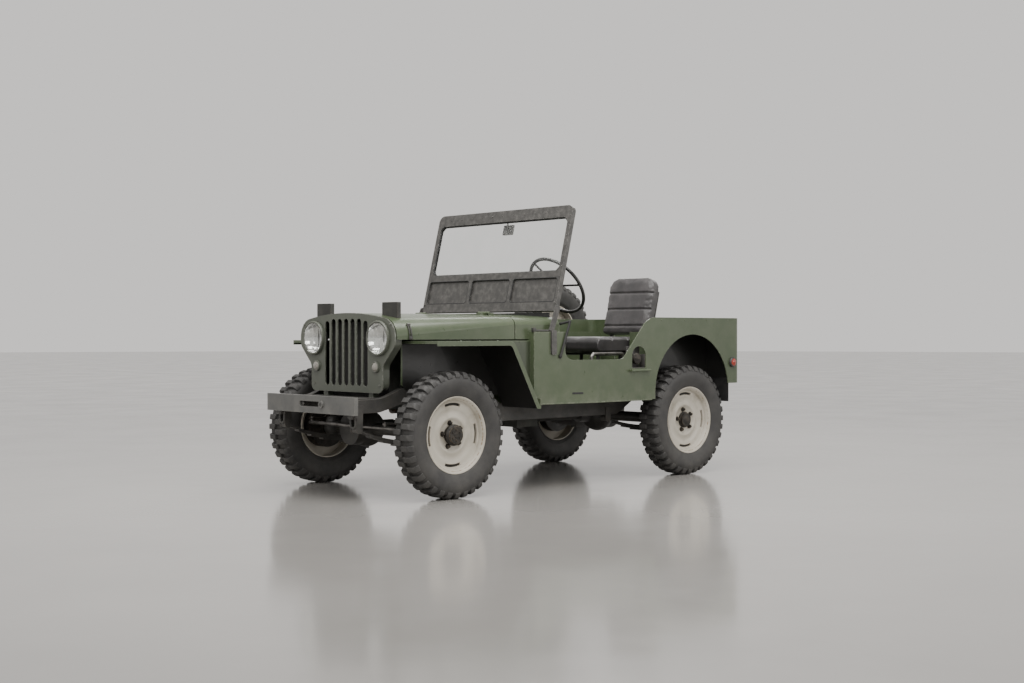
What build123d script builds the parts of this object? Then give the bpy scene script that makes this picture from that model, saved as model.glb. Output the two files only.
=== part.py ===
"""Small open army 4x4 car, built as separate named solids.

Sizes are in mm. While it is modelled, x runs forward from the front axle, y to the driver's side (left)
from the centre plane and z up from a level AXLE_Z below the axles. On export everything is moved by one
shift, so that the tyres stand at height 0 and the origin lies under the middle of the whole car.
"""
import os
from math import cos, pi, radians, sin, tan

from build123d import *

# Wheels and axles
WHEELBASE = 2032
TRACK = 1225
TYRE_R = 360
TYRE_W = 164
AXLE_Z = 360
REAR_X = -WHEELBASE
RIM_R = 203
RIM_HALF_W = 60
BEAD_Y = 54
TYRE_BULGE_R = RIM_R + 0.605 * (TYRE_R - RIM_R)
TYRE_FACETS = 15
LUGS_PER_FACET = 2
LUG_ROOT_R = TYRE_R - 17
LUG_W = 36
LUG_IN_Y = 4
TREAD_HALF_W = TYRE_W / 2 - 18
RIM_FLANGE_R = 220
WHEEL_SEAT_Y = 8
DRUM_R = 138
DRUM_DEPTH = 48
SPINDLE_R = 25
AXLE_TUBE_R = 35
BALL_R = 70
KINGPIN_Y = TRACK / 2 - 112.5
RUNNING_GAP = 0.3
DIFF_R = 112
RAIL_OUT_Y = KINGPIN_Y - 129
DIFF_Y = -(RAIL_OUT_Y - 211)
PINION_REACH = 200

# Steering
STEER_ARM = 160
TIE_ROD_Z = 385
TIE_ROD_R = 11
ARM_PLATE_Z = 402
ARM_PLATE_T = 12
PIN_R = 8
STEERING_Y = RAIL_OUT_Y - 71
CRANK_SIDE_ARM = 70
CRANK_Y = STEERING_Y - CRANK_SIDE_ARM
DRAG_LINK_Z = 440
DROP_ARM_X = -378
DROP_ARM_PIVOT_Z = 662
DROP_ARM_Y = STEERING_Y - 38
DROP_ARM_T = 12
DROP_SHAFT_R = 12
DRAG_EYE_SLACK = 3.5
STEERING_WHEEL_CENTRE = (-1172, STEERING_Y, 1236)
STEERING_WHEEL_R = 215
STEERING_RIM_R = 11
COLUMN_R = 20
STEERING_SHAFT_R = 11
COLUMN_ANGLE = 36

# Frame
RAIL_W = 44
RAIL_WALL = 6
RAIL_MID_TOP = 506
RAIL_ARCH_TOP = 625
RAIL_REAR_TOP = 606
FRAME_FRONT_X = 505
FRAME_REAR_X = REAR_X - 528
SPRING_W = RAIL_W
SPRING_Y = RAIL_OUT_Y - RAIL_W / 2
LEAF_T = 9
SPRING_SEAT_GAP = 5
# Front eye x, rear eye x, eye z, and how high the plates of each eye reach beside the rail
SPRING_EYES = (
    (455, -430, 396, 530, 560),
    (REAR_X + 462, REAR_X - 438, 378, 450, 530),
)

FRONT_BEAM_TOP_Z = 566
PAN_LOW_Z = FRONT_BEAM_TOP_Z - 4
RADIATOR_REAR_X = 150
RADIATOR_T = 56
RADIATOR_TOP_Z = 1000
RADIATOR_HALF_W = RAIL_OUT_Y - RAIL_W - 77
ENGINE_HALF_W = 150
ENGINE_LOW_Z = 486
ENGINE_TOP_Z = 930
GEARBOX_FRONT_X = -470
GEARBOX_REAR_X = -1000
CASE_REAR_X = -1180
GEARBOX_HALF_W = 110
GEARBOX_LOW_Z = 425
EXHAUST_X = -250
EXHAUST_Z = 610
PIPE_R = 22
SILENCER_R = 58
SILENCER_FRONT_X = -850
SILENCER_REAR_X = -1300
TOW_HOLE_R = 13
TOW_HOLE_X = FRAME_REAR_X - 40
TOW_PLATE_Z = 520
TOW_PLATE_T = 16
TOW_TIP_X = FRAME_REAR_X - 70

# Bumper
BUMPER_HALF_W = RAIL_OUT_Y + 59
BUMPER_T = 24
BUMPER_LOW_Z = 479
BUMPER_TOP_Z = 579
BUMPER_SLOT_HALF_W = 99
BUMPER_SLOT_Z = 531
BUMPER_SLOT_HALF_H = 15
BOSS_R = 20
BOSS_OUT = 10

# Tub
SHEET = 6
TUB_HALF_W = 705
COWL_SIDE_HALF_W = TUB_HALF_W - 65
TUB_FRONT_X = -640
TAPER_X = -1120
TUB_REAR_X = REAR_X - 509
TUB_CORNER_R = 55
TUB_TOP_Z = 1035
FLOOR_TOP_Z = RAIL_MID_TOP + SHEET
BED_TOP_Z = 640
SIDE_REAR_LOW_Z = 595
DOOR_LOW_Z = 771
DASH_X = -870
LEDGE_Z = 937
ARCH_R = TYRE_R + 15
ARCH_Z = AXLE_Z + 190
WHEEL_BOX_IN_Y = TRACK / 2 - TYRE_W / 2 - 25.5
WHEEL_BOX_TOP_Z = ARCH_Z + ARCH_R + 16
WHEEL_BOX_HALF_L = ARCH_R + 17
BED_FRONT_X = REAR_X + WHEEL_BOX_HALF_L + 12
SCALLOP_LOW_X = REAR_X + 682
SCALLOP_TOP_X = REAR_X + 442
FILLER_X = REAR_X + 531
FILLER_Z = 782
FILLER_HALF_W = 65
FILLER_HALF_H = 70
HANDLE_DROP = 84
HANDLE_HALF_L = 90
HANDLE_R = 8
HANDLE_OUT = 18
FLAP_T = 6
FLAP_W = 164
FLAP_LOW_Z = 470
TAILGATE_HALF_W = TUB_HALF_W - 249
TAILGATE_LOW_Z = 652
MOVING_GAP = 6

# Front end
GRILLE_X = 270
GRILLE_T = 8
GRILLE_HALF_W = 459
GRILLE_LOW_HALF_W = RAIL_OUT_Y - 25
GRILLE_LOW_Z = 592
SLOT_COUNT = 7
SLOT_PITCH = 62
SLOT_W = 44
SLOT_LOW_Z = 627
SLOT_TOP_Z = 1018
HEADLAMP_Y = 313
HEADLAMP_Z = 905
HEADLAMP_R = 102
BOWL_R = 92
LAMP_RIM_T = 16
LENS_R = 89
LENS_RISE = 22
MARKER_Y = 287
MARKER_Z = 740
MARKER_R = 33
MARKER_STEM_R = 26
MARKER_T = 20
REAR_LAMP_Z = 780
REAR_LAMP_R = 45
SIDE_LAMP_Z = 736
SIDE_LAMP_R = 34
SIDE_LAMP_AHEAD = TUB_CORNER_R + SIDE_LAMP_R + 4
HOOD_FRONT_X = GRILLE_X - GRILLE_T - MOVING_GAP
HOOD_REAR_X = -540
HOOD_T = 5
HOOD_LOW_Z = 898
HOOD_CROWN_Z = 1052
# The hood's shoulder at the grille and at the hinge line: reach in, drop below the crown, height of its foot
SHOULDER_FRONT = (96, 32, 915)
SHOULDER_REAR = (60, 22, 985)
COWL_HALF_W_REAR = COWL_SIDE_HALF_W - 18
FENDER_TOP_Z = 890
FENDER_T = 5
FENDER_OUT_Y = TUB_HALF_W - 5
FENDER_FRONT_X = 160
FENDER_BEND_X = -420
FENDER_FOOT_Z = 487
FENDER_LIP = 28
FENDER_FRONT_LIP = 16
CHEEK_Y = COWL_SIDE_HALF_W - 34

# Hood and tailgate hinges
HINGE_Y = 300
HINGE_BARREL_L = 44
HINGE_EAR = 26
HINGE_GAP = 0.5
HINGE_R = 9
HINGE_PIN_R = 5
HOOD_HINGE_X = HOOD_REAR_X - MOVING_GAP / 2
HOOD_HINGE_Z = HOOD_CROWN_Z + 4
GATE_HINGE_X = TUB_REAR_X - HINGE_R - MOVING_GAP
GATE_HINGE_Z = TAILGATE_LOW_Z - MOVING_GAP / 2

# Windscreen
PIVOT_X = -842
PIVOT_Z = 1082
SCREEN_LEAN = 14
SCREEN_HALF_W = COWL_SIDE_HALF_W - 10
SCREEN_LOW = -16
SCREEN_TOP = 655
SCREEN_T = 30
GLASS_LOW = 236
GLASS_TOP = 580
GLASS_HALF_W = SCREEN_HALF_W - 30
GLASS_T = 6
PANEL_LOW = 42
PANEL_TOP = 194
PANEL_DEPTH = 11
PIN_REACH = 34
BRACKET_T = 8
BRACKET_IN_Y = SCREEN_HALF_W + MOVING_GAP
BRACKET_FOOT = (-781, 805)
BRACKET_HALF_W = 20

# Seats
SEAT_IN_Y = 61
SEAT_HALF_W = (WHEEL_BOX_IN_Y - SHEET - MOVING_GAP - SEAT_IN_Y) / 2
SEAT_Y = SEAT_IN_Y + SEAT_HALF_W
SEAT_FRONT_X = REAR_X + 687
SEAT_BACK_X = REAR_X + 232
CUSHION_LOW_Z = 812
CUSHION_T = 92
BACK_T = 62
BACK_LEAN = 14
BACK_H = 420

# Lever foot x, foot y, how far its knob lies behind the foot (negative), knob height above the floor
LEVERS = (
    (-960, 12, -120, 330),
    (-1010, -26, -60, 250),
    (-1010, -62, -60, 250),
)
LEVER_KNOB_R = 16

# Spare wheel
SPARE_X = REAR_X - 173
SPARE_Z = 935
SPARE_PLATE_T = 12
SPARE_GAP = 22
SPARE_IN_Y = max(TUB_HALF_W, TRACK / 2 + TYRE_W / 2) + SPARE_GAP

# The whole car's reach, for the origin
FRONT_REACH = FRAME_FRONT_X + BUMPER_T + BOSS_OUT
REAR_REACH = TOW_TIP_X
LEFT_REACH = max(TUB_HALF_W + HANDLE_OUT + HANDLE_R, TRACK / 2 + TYRE_W / 2)
RIGHT_REACH = -(SPARE_IN_Y + TYRE_W)
ORIGIN_SHIFT = (-(FRONT_REACH + REAR_REACH) / 2, -(LEFT_REACH + RIGHT_REACH) / 2, TYRE_R - AXLE_Z)


def outline(corners):
    """A closed face on XY from rows of (u, v, corner radius)."""
    count = len(corners)
    starts = []
    ends = []
    arcs = []
    for i, (u, v, radius) in enumerate(corners):
        here = Vector(u, v)
        if radius == 0:
            starts.append(here)
            ends.append(here)
            continue
        to_last = (Vector(*corners[i - 1][:2]) - here).normalized()
        to_next = (Vector(*corners[(i + 1) % count][:2]) - here).normalized()
        half = radians(to_last.get_angle(to_next)) / 2
        reach = radius / tan(half)
        middle = here + (to_last + to_next).normalized() * (radius / sin(half) - radius)
        starts.append(here + to_last * reach)
        ends.append(here + to_next * reach)
        arcs.append(ThreePointArc(starts[i], middle, ends[i]))
    lines = []
    for i in range(count):
        following = starts[(i + 1) % count]
        if (following - ends[i]).length > 0.001:
            lines.append(Line(ends[i], following))
    return make_face(arcs + lines)


def rectangle(u0, u1, v0, v1, radius=0):
    """A face between two values each way, with round corners if asked."""
    return outline([(u0, v0, radius), (u1, v0, radius), (u1, v1, radius), (u0, v1, radius)])


def across(face, y0, y1):
    """A face drawn in (x, z), thickened between two y values."""
    return extrude(Plane.XZ.offset(-y0) * face, amount=y0 - y1)


def along(face, x0, x1):
    """A face drawn in (y, z), thickened between two x values."""
    return extrude(Plane.YZ.offset(x0) * face, amount=x1 - x0)


def upward(face, z0, z1):
    """A face drawn in (x, y), thickened between two z values."""
    return extrude(Plane.XY.offset(z0) * face, amount=z1 - z0)


def block(x0, x1, y0, y1, z0, z1):
    """A plain box between two values each way."""
    return upward(rectangle(x0, x1, y0, y1), z0, z1)


def rod(start, end, radius):
    """A round bar from one point to another."""
    start = Vector(*start)
    end = Vector(*end)
    plane = Plane(origin=start, z_dir=end - start)
    return extrude(plane * Circle(radius), amount=(end - start).length)


def turned(rows):
    """A ring turned about the y axis from rows of (radius, y)."""
    points = [(radius, y) for radius, y in rows]
    return revolve(make_face(Polyline(*points, close=True)), Axis.Y)


def fused(shapes):
    """One solid from several that touch or overlap."""
    shapes = list(shapes)
    return shapes[0].fuse(*shapes[1:]) if len(shapes) > 1 else shapes[0]


def together(shapes):
    """Several separate solids kept in one node."""
    return Compound([solid for shape in shapes for solid in shape.solids()])


def other_side(shape):
    """The same piece on the other side of the centre plane."""
    return mirror(shape, about=Plane.XZ)


def both_sides(shape):
    """A piece and its twin on the other side."""
    return together([shape, other_side(shape)])


def half_width_at(x):
    """Half width of hood and cowl at x, which widen evenly to the rear."""
    slope = (COWL_HALF_W_REAR - GRILLE_HALF_W) / (GRILLE_X - DASH_X)
    return GRILLE_HALF_W + slope * (GRILLE_X - x)


def shoulder_at(x):
    """The shoulder's reach in, drop and foot height at x, slimmer towards the hinge line."""
    share = min((GRILLE_X - x) / (GRILLE_X - HOOD_REAR_X), 1)
    return [front + share * (rear - front) for front, rear in zip(SHOULDER_FRONT, SHOULDER_REAR)]


def hood_top(x, inset):
    """Upper edges of the hood's section at x, from the left foot of its shoulder to the right one."""
    reach, drop, foot_z = shoulder_at(x)
    half = half_width_at(x) - inset
    crown = HOOD_CROWN_Z - inset
    shoulder_y = half - reach
    shoulder_z = crown - drop
    bend_y = half - 0.28 * reach
    bend_z = foot_z + 0.64 * (shoulder_z - foot_z)
    return [
        ThreePointArc((half, foot_z), (bend_y, bend_z), (shoulder_y, shoulder_z)),
        ThreePointArc((shoulder_y, shoulder_z), (0, crown), (-shoulder_y, shoulder_z)),
        ThreePointArc((-shoulder_y, shoulder_z), (-bend_y, bend_z), (-half, foot_z)),
    ]


def side_half_width_at(x):
    """Half width of the tub side at x, tapering in ahead of the door."""
    if x <= TAPER_X:
        return TUB_HALF_W
    share = (x - TAPER_X) / (TUB_FRONT_X - TAPER_X)
    return TUB_HALF_W + share * (COWL_SIDE_HALF_W - TUB_HALF_W)


# Frame and axles


def rail_profile(inset=0):
    """Side view of a rail: down between the axles, arched over both."""
    rows = [
        (FRAME_FRONT_X, 485, 0),
        (310, 487, 150),
        (150, RAIL_ARCH_TOP - 95, 120),
        (-420, RAIL_ARCH_TOP - 95, 60),
        (-590, RAIL_MID_TOP - 106, 60),
        (REAR_X + 372, RAIL_MID_TOP - 106, 120),
        (REAR_X + 182, RAIL_REAR_TOP - 95, 120),
        (REAR_X - 238, RAIL_REAR_TOP - 95, 120),
        (FRAME_REAR_X, 490, 0),
        (FRAME_REAR_X, 570, 0),
        (REAR_X - 258, RAIL_REAR_TOP, 200),
        (REAR_X + 182, RAIL_REAR_TOP, 120),
        (REAR_X + 342, RAIL_MID_TOP, 120),
        (-610, RAIL_MID_TOP, 60),
        (-460, RAIL_ARCH_TOP, 60),
        (130, RAIL_ARCH_TOP, 200),
        (290, 563, 200),
        (FRAME_FRONT_X, 560, 0),
    ]
    face = outline(rows)
    return offset(face, amount=-inset) if inset else face


def frame_rail():
    """Left rail: an open channel with its web outside, and the plates that hold the springs."""
    bar = across(rail_profile(), RAIL_OUT_Y - RAIL_W, RAIL_OUT_Y)
    hollow = across(rail_profile(RAIL_WALL), RAIL_OUT_Y - RAIL_W - 10, RAIL_OUT_Y - RAIL_WALL)
    hangers = []
    for front_x, rear_x, eye_z, front_top, rear_top in SPRING_EYES:
        hangers += spring_hanger(front_x, eye_z, front_top)
        hangers += spring_hanger(rear_x, eye_z, rear_top)
    return fused([bar - hollow, *hangers])


def crossmembers():
    """Beams between the rails, with a pan below the grille and the tow plate at the rear."""
    web = RAIL_OUT_Y - RAIL_WALL
    beams = [
        (340, 400, 495, 550),
        (RADIATOR_REAR_X, GRILLE_X - 12, FRONT_BEAM_TOP_Z - 26, FRONT_BEAM_TOP_Z),
        (-760, -680, 407, GEARBOX_LOW_Z),
        (CASE_REAR_X - 260, CASE_REAR_X - 180, 410, 500),
        (REAR_X - 268, REAR_X - 208, 520, 596),
        (FRAME_REAR_X + 7, FRAME_REAR_X + 60, 503, 562),
    ]
    made = [block(x0, x1, -web, web, z0, z1) for x0, x1, z0, z1 in beams]
    pan_half = RAIL_OUT_Y - RAIL_W - 1
    pan = block(GRILLE_X - 12, FRAME_FRONT_X, -pan_half, pan_half, PAN_LOW_Z, FRONT_BEAM_TOP_Z)
    pan_foot = block(340, 400, -pan_half, pan_half, 540, PAN_LOW_Z)
    front = fused([made[0], made[1], pan, pan_foot])
    plate = block(FRAME_REAR_X - 8, FRAME_REAR_X + 10, -150, 150, 480, 580)
    tongue_rows = [
        (FRAME_REAR_X - 4, 90, 0),
        (FRAME_REAR_X - 4, -90, 0),
        (TOW_TIP_X, -45, 30),
        (TOW_TIP_X, 45, 30),
    ]
    low = TOW_PLATE_Z - TOW_PLATE_T / 2
    tongue = upward(outline(tongue_rows), low, low + TOW_PLATE_T)
    tow_hole = rod((TOW_HOLE_X, 0, low - 10), (TOW_HOLE_X, 0, low + TOW_PLATE_T + 10), TOW_HOLE_R)
    rear = fused([made[-1], plate, tongue]) - tow_hole
    return together([front, *made[2:-1], rear])


def front_bumper():
    """Channel bumper with a slot through its face and a round boss beside it."""
    bar = block(
        FRAME_FRONT_X, FRAME_FRONT_X + BUMPER_T, -BUMPER_HALF_W, BUMPER_HALF_W, BUMPER_LOW_Z, BUMPER_TOP_Z
    )
    slot_face = rectangle(
        -BUMPER_SLOT_HALF_W,
        BUMPER_SLOT_HALF_W,
        BUMPER_SLOT_Z - BUMPER_SLOT_HALF_H,
        BUMPER_SLOT_Z + BUMPER_SLOT_HALF_H,
        12,
    )
    face_x = FRAME_FRONT_X + BUMPER_T
    slot = along(slot_face, FRAME_FRONT_X - 10, face_x + 10)
    boss_y = BUMPER_SLOT_HALF_W + BOSS_R + 2
    boss = rod((face_x - 4, boss_y, BUMPER_SLOT_Z), (face_x + BOSS_OUT, boss_y, BUMPER_SLOT_Z), BOSS_R)
    hollow = along(
        rectangle(-BUMPER_HALF_W + 8, -RAIL_OUT_Y - 4, BUMPER_LOW_Z + 8, BUMPER_TOP_Z - 8),
        FRAME_FRONT_X - 1,
        FRAME_FRONT_X + BUMPER_T - 8,
    )
    return fused([bar - slot - hollow - other_side(hollow), boss])


def diff_housing(x, nose):
    """Round final drive casing with its pinion nose towards the middle of the car."""
    bulge = Pos(x, DIFF_Y, AXLE_Z) * Sphere(DIFF_R)
    cover = rod((x - nose * 40, DIFF_Y, AXLE_Z), (x - nose * 128, DIFF_Y, AXLE_Z), 96)
    pinion = rod((x, DIFF_Y, AXLE_Z), (x + nose * PINION_REACH, DIFF_Y, AXLE_Z), 46)
    return fused([bulge, cover, pinion])


def front_axle():
    """Axle tube with ball ends, final drive, spring seats and the bell crank's post."""
    tube = rod((0, -KINGPIN_Y + 30, AXLE_Z), (0, KINGPIN_Y - 30, AXLE_Z), AXLE_TUBE_R)
    balls = [Pos(0, side * KINGPIN_Y, AXLE_Z) * Sphere(BALL_R) for side in (-1, 1)]
    seats = [
        block(-45, 45, side * SPRING_Y - 24, side * SPRING_Y + 24, spring_seat_z(), AXLE_Z)
        for side in (-1, 1)
    ]
    post = rod((0, CRANK_Y, AXLE_Z), (0, CRANK_Y, ARM_PLATE_Z - RUNNING_GAP), 20)
    pin = rod((0, CRANK_Y, AXLE_Z), (0, CRANK_Y, ARM_PLATE_Z + ARM_PLATE_T + 8), PIN_R)
    return fused([tube, *balls, diff_housing(0, -1), *seats, post, pin])


def rear_axle():
    """Axle tube with final drive, spring seats, brake plates and wheel spindles."""
    x = REAR_X
    plate_y = TRACK / 2 - DRUM_DEPTH - 4
    tube = rod((x, -plate_y, AXLE_Z), (x, plate_y, AXLE_Z), AXLE_TUBE_R)
    plates = [
        rod((x, side * (plate_y - 6), AXLE_Z), (x, side * plate_y, AXLE_Z), DRUM_R) for side in (-1, 1)
    ]
    spindles = rod((x, -TRACK / 2 - 14, AXLE_Z), (x, TRACK / 2 + 14, AXLE_Z), SPINDLE_R)
    seats = [
        block(x - 45, x + 45, side * SPRING_Y - 24, side * SPRING_Y + 24, spring_seat_z(), AXLE_Z)
        for side in (-1, 1)
    ]
    return fused([tube, *plates, spindles, diff_housing(x, 1), *seats])


def spring_seat_z():
    """Top of the clamp that holds a spring under its axle."""
    return AXLE_Z - AXLE_TUBE_R - 6


def leaf_spring(axle_x, front_x, rear_x, eye_z):
    """Left spring: stacked leaves, each shorter than the one above, with an eye at both ends."""
    top = spring_seat_z() - SPRING_SEAT_GAP
    half = (front_x - rear_x) / 2
    middle = (front_x + rear_x) / 2
    rise = eye_z - top
    radius = (half * half + rise * rise) / (2 * rise)
    centre_z = top + radius
    shares = (1, 0.82, 0.62, 0.42)
    leaves = []
    for i, share in enumerate(shares):
        ring = Circle(radius + LEAF_T * (i + 1)) - Circle(radius + LEAF_T * i)
        window = rectangle(-half * share, half * share, -radius - 80, -radius + rise + 5)
        face = Pos(middle, centre_z) * (ring & window)
        leaves.append(across(face, SPRING_Y - SPRING_W / 2, SPRING_Y + SPRING_W / 2))
    eyes = []
    for x in (front_x, rear_x):
        low = SPRING_Y - SPRING_W / 2
        eyes.append(rod((x, low, eye_z), (x, low + SPRING_W, eye_z), 20))
    clamp = block(
        axle_x - 45, axle_x + 45, SPRING_Y - 24, SPRING_Y + 24, top - 4 * LEAF_T - 14, spring_seat_z()
    )
    return fused(leaves + eyes + [clamp])


def spring_hanger(x, eye_z, rail_z):
    """Left pair of plates, from beside a rail down to a spring eye."""
    face = outline(
        [(x - 22, eye_z - 22, 20), (x + 22, eye_z - 22, 20), (x + 26, rail_z, 0), (x - 26, rail_z, 0)]
    )
    inner = SPRING_Y - SPRING_W / 2
    outer = SPRING_Y + SPRING_W / 2
    return [across(face, inner - SHEET, inner), across(face, outer, outer + SHEET)]


def knuckle():
    """Left knuckle: half shell round the axle's ball, spindle, brake plate and steering arm."""
    shell_r = BALL_R + 12
    shell = Pos(0, KINGPIN_Y, AXLE_Z) * (Sphere(shell_r) - Sphere(BALL_R + RUNNING_GAP))
    shell &= block(-200, 200, KINGPIN_Y, KINGPIN_Y + 200, 0, 2 * AXLE_Z)
    plate_y = TRACK / 2 - DRUM_DEPTH - 4
    spindle = rod((0, KINGPIN_Y + shell_r - 8, AXLE_Z), (0, TRACK / 2 + 14, AXLE_Z), SPINDLE_R)
    plate = rod((0, plate_y - 6, AXLE_Z), (0, plate_y, AXLE_Z), DRUM_R)
    plate -= Pos(0, KINGPIN_Y, AXLE_Z) * Sphere(BALL_R + 4)
    arm = upward(
        rectangle(60, STEER_ARM + 16, KINGPIN_Y - 16, KINGPIN_Y + 16, 15),
        ARM_PLATE_Z,
        ARM_PLATE_Z + ARM_PLATE_T,
    )
    root = block(64, 82, KINGPIN_Y, KINGPIN_Y + 30, ARM_PLATE_Z - 12, ARM_PLATE_Z + ARM_PLATE_T)
    eye = rod(
        (STEER_ARM, KINGPIN_Y, ARM_PLATE_Z - 5),
        (STEER_ARM, KINGPIN_Y, ARM_PLATE_Z + ARM_PLATE_T + 8),
        PIN_R + RUNNING_GAP,
    )
    return fused([shell, spindle, plate, root, arm]) - eye


# Wheels, drawn about the y axis with +y outward


def sidewall_y(radius):
    """Outer face of the tyre's lower sidewall at a radius."""
    share = (radius - RIM_R) / (TYRE_BULGE_R - RIM_R)
    return BEAD_Y + share * (TYRE_W / 2 - BEAD_Y)


def tyre_slice():
    """One flat-sided slice of the tyre's carcass, facing +x."""
    rows = [
        (RIM_R + RUNNING_GAP, -BEAD_Y),
        (RIM_R + RUNNING_GAP, BEAD_Y),
        (TYRE_BULGE_R, TYRE_W / 2),
        (LUG_ROOT_R, TREAD_HALF_W),
        (LUG_ROOT_R, -TREAD_HALF_W),
        (TYRE_BULGE_R, -TYRE_W / 2),
    ]
    section = make_face(Polyline(*rows, close=True))
    reach = TYRE_R * tan(pi / TYRE_FACETS)
    sector = outline([(0, 0, 0), (TYRE_R, -reach, 0), (TYRE_R, reach, 0)])
    return extrude(section, amount=reach, both=True) & across(sector, -TYRE_W, TYRE_W)


def tyre():
    """Flat-sided carcass with a row of lugs each side, set half a pitch apart."""
    facet = 360 / TYRE_FACETS
    pitch = facet / LUGS_PER_FACET
    piece = tyre_slice()
    left_lug = block(LUG_ROOT_R - 14, TYRE_R, LUG_IN_Y, TREAD_HALF_W, -LUG_W / 2, LUG_W / 2)
    right_lug = other_side(left_lug)
    made = []
    for i in range(TYRE_FACETS):
        # Turned so that one left lug stands square on the ground
        turn = 90 - pitch / 4 + i * facet
        made.append(Rot(0, turn, 0) * piece)
        for j in range(LUGS_PER_FACET):
            lug_turn = turn + pitch / 4 + (j - 1) * pitch
            made.append(Rot(0, lug_turn, 0) * left_lug)
            made.append(Rot(0, lug_turn + pitch / 2, 0) * right_lug)
    return fused(made)


def wheel():
    """Pressed steel wheel: barrel with an outer flange and a dished disc."""
    flange_y = sidewall_y(RIM_FLANGE_R) + RUNNING_GAP
    rows = [
        (RIM_R, -RIM_HALF_W),
        (RIM_R, BEAD_Y + RUNNING_GAP),
        (RIM_FLANGE_R, flange_y),
        (RIM_FLANGE_R, flange_y + 6),
        (172, 26),
        (52, 14),
        (52, WHEEL_SEAT_Y),
        (196, WHEEL_SEAT_Y),
        (196, -RIM_HALF_W),
    ]
    return turned(rows)


def hub(nose_r, nose_end):
    """Brake drum and hub with a blind bore for the spindle."""
    rows = [
        (SPINDLE_R + RUNNING_GAP, -20),
        (60, -20),
        (60, -DRUM_DEPTH),
        (DRUM_R, -DRUM_DEPTH),
        (DRUM_R, WHEEL_SEAT_Y),
        (nose_r, WHEEL_SEAT_Y),
        (nose_r, nose_end),
        (0, nose_end),
        (0, 18),
        (SPINDLE_R + RUNNING_GAP, 18),
    ]
    return turned(rows)


def at_wheel(shape, x, side):
    """A wheel piece put at its axle end."""
    placed = shape if side > 0 else other_side(shape)
    return Pos(x, side * TRACK / 2, AXLE_Z) * placed


# Steering


def tie_rod():
    """Bar between both steering arms, with a pin for each arm and for the bell crank."""
    bar = rod((STEER_ARM, -KINGPIN_Y - 20, TIE_ROD_Z), (STEER_ARM, KINGPIN_Y + 20, TIE_ROD_Z), TIE_ROD_R)
    pins = [
        rod((STEER_ARM, y, TIE_ROD_Z), (STEER_ARM, y, ARM_PLATE_Z + ARM_PLATE_T + 6), PIN_R)
        for y in (-KINGPIN_Y, CRANK_Y, KINGPIN_Y)
    ]
    return fused([bar, *pins])


def bell_crank():
    """Two-armed lever on the axle's post: one arm to the tie rod, one to the drag link."""
    low = ARM_PLATE_Z
    top = ARM_PLATE_Z + ARM_PLATE_T
    forward = upward(rectangle(-20, STEER_ARM + 16, CRANK_Y - 16, CRANK_Y + 16, 15), low, top)
    sideways = upward(rectangle(-16, 16, CRANK_Y - 16, CRANK_Y + CRANK_SIDE_ARM + 16, 15), low, top)
    pin = rod((0, CRANK_Y + CRANK_SIDE_ARM, low), (0, CRANK_Y + CRANK_SIDE_ARM, DRAG_LINK_Z + 20), PIN_R)
    plate = fused([forward, sideways, pin])
    for x, y in ((0, CRANK_Y), (STEER_ARM, CRANK_Y)):
        plate -= rod((x, y, low - 5), (x, y, top + 5), PIN_R + RUNNING_GAP)
    return plate


def drag_link():
    """Short link from the bell crank to the drop arm, with an upright eye and a level one."""
    y = STEERING_Y
    bar = rod((DROP_ARM_X, y, DRAG_LINK_Z), (0, y, DRAG_LINK_Z), 10)
    front = rod((0, y, DRAG_LINK_Z - 14), (0, y, DRAG_LINK_Z + 14), 17)
    rear = rod((DROP_ARM_X, y - 10, DRAG_LINK_Z), (DROP_ARM_X, y + 10, DRAG_LINK_Z), 24)
    front_hole = rod((0, y, DRAG_LINK_Z - 30), (0, y, DRAG_LINK_Z + 30), PIN_R + RUNNING_GAP)
    rear_hole = rod(
        (DROP_ARM_X, y - 30, DRAG_LINK_Z), (DROP_ARM_X, y + 30, DRAG_LINK_Z), PIN_R + DRAG_EYE_SLACK
    )
    return fused([bar, front, rear]) - front_hole - rear_hole


def drop_arm():
    """Arm hanging from the steering box, with a pin through the drag link's eye."""
    face = outline(
        [
            (DROP_ARM_X - 14, DRAG_LINK_Z - 14, 13),
            (DROP_ARM_X + 14, DRAG_LINK_Z - 14, 13),
            (DROP_ARM_X + 22, DROP_ARM_PIVOT_Z + 22, 20),
            (DROP_ARM_X - 22, DROP_ARM_PIVOT_Z + 22, 20),
        ]
    )
    arm = across(face, DROP_ARM_Y, DROP_ARM_Y + DROP_ARM_T)
    pin = rod((DROP_ARM_X, DROP_ARM_Y, DRAG_LINK_Z), (DROP_ARM_X, STEERING_Y + 18, DRAG_LINK_Z), PIN_R)
    hole = rod(
        (DROP_ARM_X, DROP_ARM_Y - 5, DROP_ARM_PIVOT_Z),
        (DROP_ARM_X, DROP_ARM_Y + DROP_ARM_T + 5, DROP_ARM_PIVOT_Z),
        DROP_SHAFT_R + RUNNING_GAP,
    )
    return fused([arm, pin]) - hole


def column_point(distance):
    """A point on the steering column, measured down from the steering wheel's centre."""
    x, y, z = STEERING_WHEEL_CENTRE
    angle = radians(COLUMN_ANGLE)
    return (x + distance * cos(angle), y, z - distance * sin(angle))


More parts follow.
